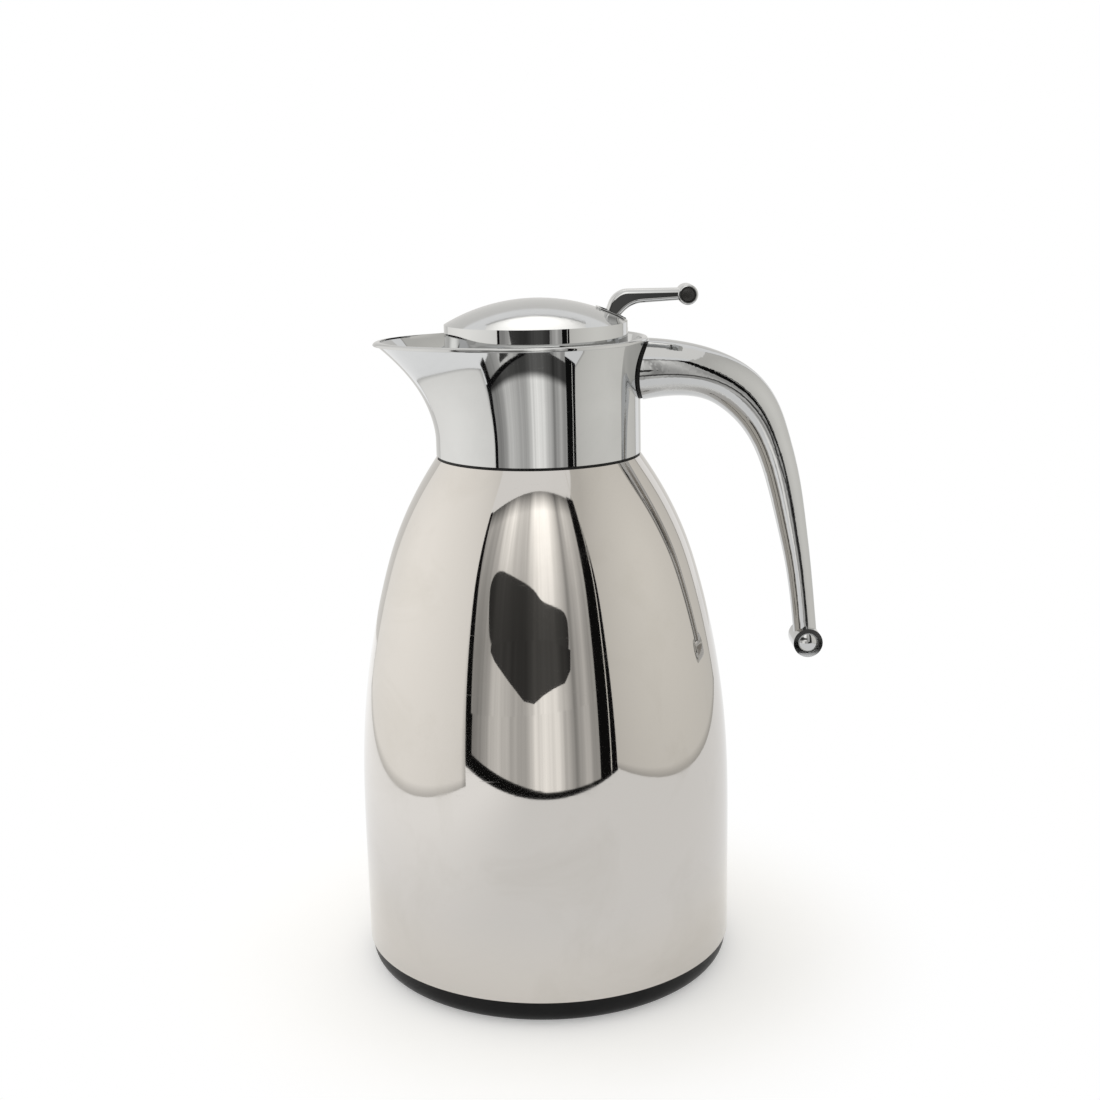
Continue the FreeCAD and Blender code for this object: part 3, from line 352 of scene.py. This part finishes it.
def curtain_light(name, strength, spread=1.0, foot_shade=1.0):
    """Hanging cloth: broad light and shade across it, upright folds, a shaded foot, painted shade along its
    top edge and more light above.
    """
    material, tree, strength_inlet = glowing(name, CLOTH_COLOUR, strength)
    whole = node(tree, "TexCoord").outputs["Object"]
    place = node(tree, "Mapping", Vector=whole, Scale=(1 / spread, 1, 1)).outputs[0]
    side = node(tree, "SeparateXYZ", Vector=place)
    share = node(tree, "MapRange", Value=side.outputs["X"], From_Min=CURTAIN_LEFT, From_Max=CURTAIN_RIGHT)
    shade = node(tree, "ValToRGB", Fac=share.outputs[0])
    stops = shade.color_ramp.elements
    for position, grey in CURTAIN_SHADES:
        stops.new(position).color = (grey, grey, grey, 1)
    stops.remove(stops[-1])
    stops.remove(stops[0])
    drawn = node(tree, "Mapping", Vector=place, Scale=FOLD_SCALE)
    folds = node(tree, "TexNoise", Vector=drawn.outputs[0], Scale=1.0, Detail=3.0, Roughness=0.55)
    cloth = node(tree, "MapRange", Value=folds.outputs["Fac"], From_Min=FOLD_DEEP, From_Max=FOLD_RAISED,
                 To_Min=SHADE_IN_FOLDS * strength, To_Max=strength)
    upper = node(tree, "MapRange", Value=side.outputs["Z"], From_Min=CURTAIN_DIM_Z, From_Max=CURTAIN_BRIGHT_Z,
                 To_Min=CURTAIN_DIM, To_Max=CURTAIN_BRIGHT)
    # Painted shade: the cloth darkens towards its top edge.
    hem = node(tree, "MapRange", Value=side.outputs["Z"], From_Min=CURTAIN_TOP - CURTAIN_TOP_SHADE_H,
               From_Max=CURTAIN_TOP, To_Min=1.0, To_Max=CURTAIN_TOP_SHADE)
    slant = node(tree, "Math", operation="MULTIPLY", i0=side.outputs["X"], i1=FOOT_SLANT)
    height = node(tree, "Math", operation="SUBTRACT", i0=side.outputs["Z"], i1=slant.outputs[0])
    foot = node(tree, "MapRange", interpolation_type="SMOOTHSTEP", Value=height.outputs[0],
                From_Min=FOOT_SHADE_Z, From_Max=FOOT_LIGHT_Z, To_Min=foot_shade, To_Max=1.0)
    level = cloth.outputs[0]
    for factor in (upper.outputs[0], foot.outputs[0], hem.outputs[0], shade.outputs["Color"]):
        level = node(tree, "Math", operation="MULTIPLY", i0=level, i1=factor).outputs[0]
    tree.links.new(level, strength_inlet)
    return material


def lamp_light(name, strength):
    """A lamp behind cloth: it fades towards the cloth's edges."""
    material, tree, strength_inlet = glowing(name, CLOTH_COLOUR, strength)
    place = node(tree, "TexCoord").outputs["Object"]
    off = node(tree, "VectorMath", operation="DISTANCE", i0=place, i1=LAMP_MIDDLE).outputs["Value"]
    level = node(tree, "MapRange", interpolation_type="SMOOTHSTEP", Value=off, From_Min=LAMP_CORE_R,
                 From_Max=LAMP_REACH, To_Min=strength, To_Max=LAMP_EDGE_LEVEL)
    tree.links.new(level.outputs[0], strength_inlet)
    return material


left_middle = (LEFT_X, (LEFT_FRONT + PANEL_BACK) / 2, LEFT_MIDDLE_Z)
right_middle = (RIGHT_X, (RIGHT_FRONT + PANEL_BACK) / 2, RIGHT_MIDDLE_Z)
card("left_panel", [
    (LEFT_X, LEFT_FRONT, 0), (LEFT_X, PANEL_BACK, 0),
    (LEFT_X, PANEL_BACK, TENT_TOP), (LEFT_X, LEFT_FRONT + LEFT_LEAN, TENT_TOP),
], soft_light("left light", CLOTH_COLOUR, LEFT_LEVEL, left_middle, (PANEL_BACK - LEFT_FRONT) / 2))
card("right_panel", upright((RIGHT_X, RIGHT_FRONT), (RIGHT_X, PANEL_BACK), 0, TENT_TOP),
     soft_light("right light", RIGHT_COLOUR, RIGHT_LEVEL, right_middle, (PANEL_BACK - RIGHT_FRONT) / 2))

gap_dark = even_light("gap dark", GAP_COLOUR, 1.0)
gap_inner = GAP_LEFT + GAP_LEFT_W
before_curtain = CURTAIN_Y + CARD_STEP
curtain_start = CURTAIN_LEFT - GAP_LEFT_LEAN
card("curtain", upright((curtain_start, CURTAIN_Y), (CURTAIN_RIGHT, CURTAIN_Y), 0, CURTAIN_TOP),
     curtain_light("curtain light", CURTAIN_LEVEL, foot_shade=FOOT_SHADE))
card("table_edge", across(before_curtain, [
    (GAP_LEFT, 0), (GAP_RIGHT, 0), (GAP_RIGHT, TABLE_EDGE_H), (0, TABLE_EDGE_H),
    (GAP_LEFT, TABLE_EDGE_LEFT_H),
]), gap_dark)
card("left_gap", across(before_curtain, [
    (GAP_LEFT, 0), (gap_inner, 0), (gap_inner - GAP_LEFT_LEAN, GAP_TOP), (GAP_LEFT - GAP_LEFT_LEAN, GAP_TOP),
]), gap_dark)
card("right_gap", across(CURTAIN_Y, [
    (CURTAIN_RIGHT, 0), (GAP_RIGHT, 0), (GAP_RIGHT - GAP_RIGHT_LEAN, GAP_TOP), (CURTAIN_RIGHT, GAP_TOP),
]), gap_dark)
card("gap_pole", upright((POLE_X, before_curtain), (POLE_X + POLE_W, before_curtain), 0, TENT_TOP),
     even_light("pole light", RIGHT_COLOUR, POLE_LEVEL))

sill_left = gap_inner * SILL_SPREAD
sill_right = CURTAIN_RIGHT * SILL_SPREAD
card("sill", across(SILL_Y, [
    (sill_left, SILL_LOW_LEFT), (0, SILL_LOW), (sill_right, SILL_LOW), (sill_right, SILL_TOP),
    (sill_left, SILL_TOP_LEFT),
]), curtain_light("sill light", CURTAIN_LEVEL, SILL_SPREAD))
post_left = GAP_LEFT * SILL_SPREAD
card("sill_post", upright((post_left, SILL_Y), (sill_left, SILL_Y), SILL_POST_LOW, SILL_TOP_LEFT), gap_dark)
card("opening", rounded(across(before_curtain, OPENING_OUTLINE), OPENING_ROUNDING),
     curtain_light("opening dark", OPENING_LEVEL))
card("opening_tip", rounded(across(TIP_Y, TIP_OUTLINE), TIP_ROUNDING),
     curtain_light("opening tip dark", OPENING_LEVEL, TIP_SPREAD))

card("ceiling", overhead(TENT_TOP, CEILING_HALF, -CEILING_HALF, CEILING_HALF),
     even_light("ceiling light", CLOTH_COLOUR, CEILING_LEVEL))
card("back_card", upright((BACK_CARD_LEFT, BACK_CARD_Y), (BACK_CARD_RIGHT, BACK_CARD_Y), 0, BACK_CARD_TOP),
     even_light("back grey", CLOTH_COLOUR, BACK_CARD_LEVEL))
card("top_lamp", overhead(LAMP_Z, LAMP_HALF, LAMP_FRONT, LAMP_BACK), lamp_light("top light", LAMP_LEVEL))
card("lamp_frame", overhead(LAMP_Z, LAMP_HALF, LAMP_BACK, LAMP_BACK + LAMP_FRAME_W),
     even_light("lamp frame grey", CLOTH_COLOUR, LAMP_FRAME_LEVEL))

# Jacket
# A spun stainless steel shell, polished to a mirror, with the neck turned in to a flange.
# It drops over the flask and carries the collar on top and the foot below.
JACKET_R = 0.0690
JACKET_WALL = 0.0008
JACKET_LOW_Z = 0.0090
JACKET_HEM = 0.0005
STRAIGHT_TOP_Z = 0.0660
SHOULDER_BEND = math.radians(16.4)
NECK_BEND = math.radians(35.8)
WIDE_R = 0.30452
TIGHT_R = 0.13093
NECK_BORE_R = 0.0287
JACKET_SIDES = 192
SIDE_CUTS = 18
ARC_STEPS = 26
SMOOTHING_PASSES = 24
JACKET_COLOUR = (0.60, 0.575, 0.545, 1)
JACKET_SMUDGED = (0.56, 0.535, 0.50, 1)
SHARP_ANGLE = math.radians(38)
MERGE_DISTANCE = 1e-6


def finish(name, metallic, roughness):
    """A Principled material: the material, its tree, its shader and its Object coordinates."""
    material, tree, out = new_material(name)
    shader = node(tree, "BsdfPrincipled", Metallic=metallic, Roughness=roughness)
    tree.links.new(shader.outputs[0], out.inputs["Surface"])
    return material, tree, shader, node(tree, "TexCoord").outputs["Object"]


def effect(name, *outlets):
    """A node group on one vector: the group, its tree's vector and its output node."""
    group = bpy.data.node_groups.new(name, "ShaderNodeTree")
    group.interface.new_socket("Vector", in_out="INPUT", socket_type="NodeSocketVector")
    for outlet in outlets:
        group.interface.new_socket(outlet, in_out="OUTPUT", socket_type="NodeSocketFloat")
    vector = group.nodes.new("NodeGroupInput").outputs["Vector"]
    return group, vector, group.nodes.new("NodeGroupOutput")


def place_effect(tree, group, vector):
    """An effect placed in a material."""
    placed = node(tree, "Group", node_tree=group)
    tree.links.new(vector, placed.inputs["Vector"])
    return placed


handling, vector, out = effect("handling marks", "Smudge", "Scratch")
cloudy = node(handling, "TexNoise", Vector=vector, Scale=26.0, Detail=5.0, Roughness=0.6, Distortion=0.6)
smudge = node(handling, "MapRange", Value=cloudy.outputs["Fac"], From_Min=0.50, From_Max=0.78)
wiped = node(handling, "Mapping", Vector=vector, Rotation=(0.5, 0.25, 0.0), Scale=(70, 70, 1500))
hair = node(handling, "TexNoise", Vector=wiped.outputs[0], Scale=1.0, Detail=1.0)
scratch = node(handling, "MapRange", Value=hair.outputs["Fac"], From_Min=0.70, From_Max=0.76)
handling.links.new(smudge.outputs[0], out.inputs["Smudge"])
handling.links.new(scratch.outputs[0], out.inputs["Scratch"])

spun, vector, out = effect("spun lines", "Height")
drawn = node(spun, "Mapping", Vector=vector, Scale=(14, 14, 2200))
lines = node(spun, "TexNoise", Vector=drawn.outputs[0], Scale=1.0, Detail=2.0)
spun.links.new(lines.outputs["Fac"], out.inputs["Height"])


def polish(name, colour, smudged, clean_roughness, dull_roughness, line_height):
    """Bright metal with fingermarks, wipe marks and the faint lines of its polishing."""
    material, tree, shader, place = finish(name, 1.0, clean_roughness)
    marks = place_effect(tree, handling, place)
    tint = node(tree, "Mix", data_type="RGBA", Factor=marks.outputs["Smudge"], i6=colour, i7=smudged)
    dull = node(tree, "Math", operation="MAXIMUM", i0=marks.outputs["Smudge"], i1=marks.outputs["Scratch"])
    rough = node(tree, "MapRange", Value=dull.outputs[0], To_Min=clean_roughness, To_Max=dull_roughness)
    lines = place_effect(tree, spun, place)
    bump = node(tree, "Bump", Strength=0.5, Distance=line_height, Height=lines.outputs["Height"])
    tree.links.new(tint.outputs[2], shader.inputs["Base Color"])
    tree.links.new(rough.outputs[0], shader.inputs["Roughness"])
    tree.links.new(bump.outputs[0], shader.inputs["Normal"])
    return material


def new_piece(name, bm, material, body, node_name):
    """A finished piece that stands for a CAD node and rides on a body."""
    mesh = bpy.data.meshes.new(name)
    for face in bm.faces:
        face.smooth = True
    bm.to_mesh(mesh)
    bm.free()
    mesh.set_sharp_from_angle(angle=SHARP_ANGLE)
    mesh.materials.append(material)
    piece = bpy.data.objects.new(name, mesh)
    bpy.context.scene.collection.objects.link(piece)
    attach(piece, body)
    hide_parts(node_name)
    return piece


def close_up(bm):
    """Merges the seams of a spun shape and turns its faces outwards."""
    bmesh.ops.remove_doubles(bm, verts=bm.verts[:], dist=MERGE_DISTANCE)
    bmesh.ops.recalc_face_normals(bm, faces=bm.faces[:])


def topmost(bm):
    """The highest point of a shape."""
    return max(bm.verts, key=lambda vert: vert.co.z)


shell = bmesh.new()
hem_top_z = JACKET_LOW_Z + JACKET_HEM
hem = [shell.verts.new((JACKET_R - JACKET_HEM, 0, JACKET_LOW_Z)), shell.verts.new((JACKET_R, 0, hem_top_z))]
side_top = shell.verts.new((JACKET_R, 0, STRAIGHT_TOP_Z))
shell.edges.new(hem)
side_edge = shell.edges.new((hem[1], side_top))
bmesh.ops.subdivide_edges(shell, edges=[side_edge], cuts=SIDE_CUTS)
wide_centre = Vector((JACKET_R - WIDE_R, 0, STRAIGHT_TOP_Z))
bend_out = Vector((math.cos(SHOULDER_BEND), 0, math.sin(SHOULDER_BEND)))
tight_centre = wide_centre + bend_out * (WIDE_R - TIGHT_R)
for centre, bend in ((wide_centre, SHOULDER_BEND), (tight_centre, NECK_BEND - SHOULDER_BEND)):
    bmesh.ops.spin(shell, geom=[topmost(shell)], cent=centre, axis=(0, -1, 0), angle=bend, steps=ARC_STEPS)
inner_points = [vert for vert in shell.verts if len(vert.link_edges) == 2 and vert.co.z > hem_top_z]
for _ in range(SMOOTHING_PASSES):
    bmesh.ops.smooth_vert(shell, verts=inner_points, factor=0.5, use_axis_x=True, use_axis_z=True)
neck_edge = topmost(shell)
shell.edges.new((neck_edge, shell.verts.new((NECK_BORE_R, 0, neck_edge.co.z))))
bmesh.ops.spin(shell, geom=shell.verts[:] + shell.edges[:], cent=(0, 0, 0), axis=(0, 0, 1),
               angle=2 * math.pi, steps=JACKET_SIDES, use_merge=True)
close_up(shell)
outward = max(shell.faces, key=lambda face: face.calc_center_median().xy.length)
if outward.normal.dot(outward.calc_center_median()) < 0:
    bmesh.ops.reverse_faces(shell, faces=shell.faces[:])
bmesh.ops.solidify(shell, geom=shell.faces[:], thickness=JACKET_WALL)
jacket_steel = polish("polished steel", JACKET_COLOUR, JACKET_SMUDGED,
                      clean_roughness=0.035, dull_roughness=0.10, line_height=0.0000012)
new_piece("jacket", shell, jacket_steel, "jug", "body_shell")

# Foot
# A black moulded cap with a satin face that screws into a threaded ring in the bottom of the jacket.
# The pot stands on its rim.
FOOT_COLOUR = (0.004, 0.004, 0.0045, 1)
FOOT_RUBBED = (0.009, 0.009, 0.0095, 1)
THREAD_RING_COLOUR = (0.028, 0.028, 0.030, 1)
THREAD_RING_PALE = (0.045, 0.045, 0.047, 1)

moulding, vector, out = effect("moulded grain", "Grain", "Flow")
speckle = node(moulding, "TexNoise", Vector=vector, Scale=2600.0, Detail=2.0, Roughness=0.6)
swirl = node(moulding, "TexNoise", Vector=vector, Scale=55.0, Detail=3.0, Distortion=1.2)
flow = node(moulding, "MapRange", Value=swirl.outputs["Fac"], From_Min=0.35, From_Max=0.75)
moulding.links.new(speckle.outputs["Fac"], out.inputs["Grain"])
moulding.links.new(flow.outputs[0], out.inputs["Flow"])


def moulded(name, colour, pale, gloss, dull, grain_height, shine):
    """Moulded plastic or rubber: a fine grain, and slow changes of shade where it flowed."""
    material, tree, shader, place = finish(name, 0.0, gloss)
    shader.inputs["Specular IOR Level"].default_value = shine
    marks = place_effect(tree, moulding, place)
    tint = node(tree, "Mix", data_type="RGBA", Factor=marks.outputs["Flow"], i6=colour, i7=pale)
    rough = node(tree, "MapRange", Value=marks.outputs["Grain"], From_Min=0.3, From_Max=0.7,
                 To_Min=gloss, To_Max=dull)
    bump = node(tree, "Bump", Strength=0.4, Distance=grain_height, Height=marks.outputs["Grain"])
    tree.links.new(tint.outputs[2], shader.inputs["Base Color"])
    tree.links.new(rough.outputs[0], shader.inputs["Roughness"])
    tree.links.new(bump.outputs[0], shader.inputs["Normal"])
    return material


def coat(material, *names):
    """Gives CAD nodes one finish."""
    for name in names:
        mesh = nodes[name].data
        mesh.materials.clear()
        mesh.materials.append(material)


foot_black = moulded("satin black foot", FOOT_COLOUR, FOOT_RUBBED,
                     gloss=0.32, dull=0.46, grain_height=0.00004, shine=0.18)
dark_plastic = moulded("dark plastic", THREAD_RING_COLOUR, THREAD_RING_PALE,
                       gloss=0.34, dull=0.50, grain_height=0.00003, shine=0.5)
coat(foot_black, "base_cap")
coat(dark_plastic, "base_thread_ring")

# Flask and cushion
# Two glass bottles, one in the other, silvered on the sides that face and welded at the lip.
# A rubber cup carries them at the bottom.
SILVER_COLOUR = (0.86, 0.87, 0.88, 1)
SILVER_CLOUDED = (0.70, 0.71, 0.72, 1)
RUBBER_COLOUR = (0.022, 0.022, 0.024, 1)
RUBBER_BLOOM = (0.055, 0.055, 0.057, 1)

silvered = polish("silvered glass", SILVER_COLOUR, SILVER_CLOUDED,
                  clean_roughness=0.06, dull_roughness=0.16, line_height=0.000001)
rubber = moulded("black rubber", RUBBER_COLOUR, RUBBER_BLOOM,
                 gloss=0.62, dull=0.80, grain_height=0.00006, shine=0.3)
coat(silvered, "flask_inner", "flask_outer")
coat(rubber, "flask_cushion")

# Neck sleeve, nut and seals
# A moulded liner with the stopper's thread hangs in the neck by its flange, and a ring nut draws it up.
# Rubber rings close it against the jacket and the flask.
coat(dark_plastic, "neck_sleeve", "neck_nut")
coat(rubber, "sleeve_seal", "flask_lip_seal")

# Collar and gasket
# A die-cast ring with the pouring spout, plated with bright chrome, on a thin black gasket.
# The sleeve's flange clamps it to the neck of the jacket.
COLLAR_LOW_Z = 0.1923
COLLAR_FLOOR_Z = 0.1945
COLLAR_WALL = 0.0018
COLLAR_EDGE = 0.0003
COLLAR_R = 0.0372
COLLAR_SIDES = 256
COLLAR_LEVELS = 44
RIM_Z = 0.2338
RIM_R = 0.0400
RIM_EDGE = 0.0006
BEAD_H = 0.0015
BEAD_W = 0.0002
BEAD_PROFILE = (
    (0.00005, 0.00025, 0.0005), (0.00015, 0.00005, 0.0001), (0.0004, 0.0, 0.0), (0.0009, 0.0, 0.0003),
    (0.0012, 0.0001, 0.0006), (0.0014, 0.0003, 0.0009), (BEAD_H, 0.0006, 0.0012), (BEAD_H, 0.0014, 0.0012),
)
FLARE_START_Z = 0.2126
SPOUT_START_Z = 0.1980
SPOUT_REACH = 0.0192
SPOUT_SWEEP = 1.8
SPOUT_BLUNTNESS = 8
LIP_REACH = 0.0188
CHROME_COLOUR = (0.565, 0.57, 0.57, 1)
CHROME_SMUDGED = (0.525, 0.53, 0.53, 1)
GASKET_COLOUR = (0.010, 0.010, 0.010, 1)
GASKET_DUSTY = (0.024, 0.024, 0.025, 1)

chrome = polish("chrome plate", CHROME_COLOUR, CHROME_SMUDGED,
                clean_roughness=0.03, dull_roughness=0.085, line_height=0.0000006)
gasket = moulded("gasket", GASKET_COLOUR, GASKET_DUSTY,
                 gloss=0.5, dull=0.68, grain_height=0.00005, shine=0.2)
coat(gasket, "collar_gasket")


def up_from(z, start_z):
    """How far a height lies up towards the rim: 0 at the start, 1 at the rim."""
    return max(0.0, (z - start_z) / (RIM_Z - start_z))


def skin_level(z, inset):
    """Height, radius and spout reach of the collar's wall at a height."""
    flare = (RIM_R - BEAD_W - COLLAR_R) * up_from(z, FLARE_START_Z) ** 2
    return z, COLLAR_R + flare - inset, SPOUT_REACH * up_from(z, SPOUT_START_Z) ** SPOUT_SWEEP


def wall_levels(start_z, end_z, inset):
    """Even levels of the collar's wall between two heights."""
    steps = [i / COLLAR_LEVELS for i in range(COLLAR_LEVELS + 1)]
    return [skin_level(start_z + (end_z - start_z) * step, inset) for step in steps]


def place_level(verts, level):
    """Moves a ring to a level: a circle drawn out towards the spout."""
    z, radius, reach = level
    for vert in verts:
        aim = vert.co.xy.normalized()
        distance = radius + reach * ((1 - aim.x) / 2) ** SPOUT_BLUNTNESS
        vert.co = (aim.x * distance, aim.y * distance, z)


def edges_of(items):
    """The edges among a mesh operation's results."""
    return [item for item in items if isinstance(item, bmesh.types.BMEdge)]


def verts_of(items):
    """The points among a mesh operation's results."""
    return [item for item in items if isinstance(item, bmesh.types.BMVert)]


bead_low_z = RIM_Z - BEAD_H
collar_foot = (COLLAR_LOW_Z, COLLAR_R - COLLAR_EDGE, 0.0)
levels = [collar_foot]
levels += wall_levels(COLLAR_LOW_Z + COLLAR_EDGE, bead_low_z, 0.0)
levels += [(bead_low_z + rise, RIM_R - inset, LIP_REACH - short) for rise, inset, short in BEAD_PROFILE]
levels += wall_levels(RIM_Z - RIM_EDGE, COLLAR_FLOOR_Z, COLLAR_WALL)
levels += [(COLLAR_FLOOR_Z, NECK_BORE_R, 0.0), (COLLAR_LOW_Z, NECK_BORE_R, 0.0), collar_foot]
casting = bmesh.new()
bmesh.ops.create_circle(casting, cap_ends=False, segments=COLLAR_SIDES, radius=COLLAR_R)
place_level(casting.verts, collar_foot)
ring_edges = casting.edges[:]
for ring_level in levels[1:]:
    grown = bmesh.ops.extrude_edge_only(casting, edges=ring_edges)["geom"]
    place_level(verts_of(grown), ring_level)
    ring_edges = [edge for edge in edges_of(grown) if len(edge.link_faces) == 1]
close_up(casting)
new_piece("spout_collar", casting, chrome, "jug", "collar")

# Handle, pad and screws
# A hollow-cast horn with a round bolster at its end, chrome plated, on a black pad that follows the collar.
# Two steel screws from inside the collar hold it.
SCREW_COLOUR = (0.50, 0.49, 0.47, 1)
SCREW_OILED = (0.40, 0.39, 0.37, 1)

turned_steel = polish("turned steel", SCREW_COLOUR, SCREW_OILED,
                      clean_roughness=0.20, dull_roughness=0.32, line_height=0.00001)
coat(chrome, "handle")
coat(gasket, "handle_pad")
coat(turned_steel, "handle_screws")

# Handle buttons
# A domed chrome button is pressed into each end of the bolster, with a fine groove round it.
BUTTON_STEPS = 10
BUTTON_EDGE = 0.00035
BUTTON_SIDES = 64
HANDLE_CROWN = 0.0009


def button_pair(node_name, crown):
    """Two domed buttons in place of a pair of flat caps across the pot, each let in two crowns deep."""
    low, high = (Vector(corner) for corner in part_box(node_name))
    middle = (low + high) / 2
    radius = (high.x - low.x) / 2
    depth = 2 * crown
    bm = bmesh.new()
    for side in (-1, 1):
        face = middle.y + side * (high.y - low.y) / 2
        back = face - side * depth
        outline = [(0, back), (radius, back), (radius, face - side * BUTTON_EDGE)]
        for i in range(BUTTON_STEPS + 1):
            share = i / BUTTON_STEPS
            rise = crown * (1 - (1 - share) ** 2)
            outline.append(((radius - BUTTON_EDGE) * (1 - share), face + side * rise))
        line = [bm.verts.new((middle.x + r, y, middle.z)) for r, y in outline]
        edges = [bm.edges.new(pair) for pair in zip(line, line[1:])]
        bmesh.ops.spin(bm, geom=line + edges, cent=middle, axis=(0, 1, 0), dvec=(0, 0, 0),
                       angle=2 * math.pi, steps=BUTTON_SIDES, use_merge=True)
    close_up(bm)
    return bm


handle_domes = button_pair("handle_end_caps", HANDLE_CROWN)
new_piece("handle_buttons", handle_domes, chrome, "jug", "handle_end_caps")

# Stopper, cover and seals
# A moulded plug with a two-start thread, a valve seat and two pouring windows.
# A plate closes its chamber and guides the valve's stem; rubber rings seal the joints.
coat(dark_plastic, "stopper_body", "stopper_cover")
coat(rubber, "stopper_seal", "cover_seal", "stem_seal")

# Valve
# A turned steel stem with a moulded plug and its rubber washer below, and a crosshead nut above.
coat(turned_steel, "valve_stem", "stem_nut")
coat(dark_plastic, "valve_plug")
coat(rubber, "valve_washer")

# Return spring
# Hard-drawn steel wire, coiled with closed ends, between the plug and the cover.
# Its top stays under the cover. The real spring shortens as the valve rises; here it is one rigid piece that
# rides with the stopper.
WIRE_R = 0.0006
WIRE_SIDES = 14
TURN_STEPS = 40
END_PITCH = 0.0020
MIDDLE_TURNS = 3

spring_low, spring_high = (Vector(corner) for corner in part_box("return_spring"))
coil_r = (spring_high.x - spring_low.x) / 2 - WIRE_R
coil_rise = spring_high.z - spring_low.z - 2 * WIRE_R
middle_pitch = (coil_rise - 2 * END_PITCH) / MIDDLE_TURNS
coil = bmesh.new()
start = Matrix.Translation((coil_r, 0, spring_low.z + WIRE_R)) @ Matrix.Rotation(math.pi / 2, 4, "X")
ring = bmesh.ops.create_circle(coil, cap_ends=False, segments=WIRE_SIDES, radius=WIRE_R, matrix=start)
first_end = coil.faces.new(ring["verts"])
last = list(first_end.edges)
for turns, pitch in ((1, END_PITCH), (MIDDLE_TURNS, middle_pitch), (1, END_PITCH)):
    swept = bmesh.ops.spin(coil, geom=last, cent=(0, 0, 0), axis=(0, 0, 1), dvec=(0, 0, pitch / TURN_STEPS),
                           angle=2 * math.pi * turns, steps=TURN_STEPS * turns)
    last = edges_of(swept["geom_last"])
bmesh.ops.contextual_create(coil, geom=last)
close_up(coil)
spring = new_piece("coil_spring", coil, turned_steel, "stopper", "return_spring")
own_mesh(spring)

# Bracket and pin
# A moulded bracket with two ears is screwed to the cover, and a steel pin in it carries the lever.
coat(dark_plastic, "lever_bracket")
coat(turned_steel, "lever_pin", "bracket_screws")

# Lever and its buttons
# A die-cast thumb lever in chrome plate. Its fork lifts the stem's nut when the thumb end is pressed.
# A glossy dark button closes each side of the thumb end.
LEVER_CROWN = 0.00008
BUTTON_COLOUR = (0.030, 0.029, 0.028, 1)
BUTTON_RUBBED = (0.050, 0.049, 0.047, 1)

glossy_black = moulded("glossy dark buttons", BUTTON_COLOUR, BUTTON_RUBBED,
                       gloss=0.12, dull=0.20, grain_height=0.00001, shine=0.5)
coat(chrome, "lever")
lever_domes = button_pair("lever_end_caps", LEVER_CROWN)
new_piece("lever_buttons", lever_domes, glossy_black, "lever", "lever_end_caps")

# Lid
# A chrome ring and dome over the lever's works, held by three screws from under the stopper's flange.
# The ring is mirror bright and the dome above it has a softer polish.
RING_TOP_Z = 0.2393
RING_EDGE = 0.0008
RING_ROUGHNESS = 0.03
DOME_ROUGHNESS = 0.10
SMUDGE_ROUGHNESS = 0.05

lid_chrome, tree, shader, place = finish("lid chrome", 1.0, RING_ROUGHNESS)
height = node(tree, "SeparateXYZ", Vector=place).outputs["Z"]
on_dome = node(tree, "MapRange", Value=height, From_Min=RING_TOP_Z, From_Max=RING_TOP_Z + RING_EDGE)
marks = place_effect(tree, handling, place)
tint = node(tree, "Mix", data_type="RGBA", Factor=marks.outputs["Smudge"],
            i6=CHROME_COLOUR, i7=CHROME_SMUDGED)
satin = node(tree, "MapRange", Value=on_dome.outputs[0], To_Min=RING_ROUGHNESS, To_Max=DOME_ROUGHNESS)
marked = node(tree, "Math", operation="MULTIPLY_ADD", i0=marks.outputs["Smudge"], i1=SMUDGE_ROUGHNESS,
              i2=satin.outputs[0])
tree.links.new(tint.outputs[2], shader.inputs["Base Color"])
tree.links.new(marked.outputs[0], shader.inputs["Roughness"])
coat(lid_chrome, "lid_cap")
coat(turned_steel, "lid_screws")
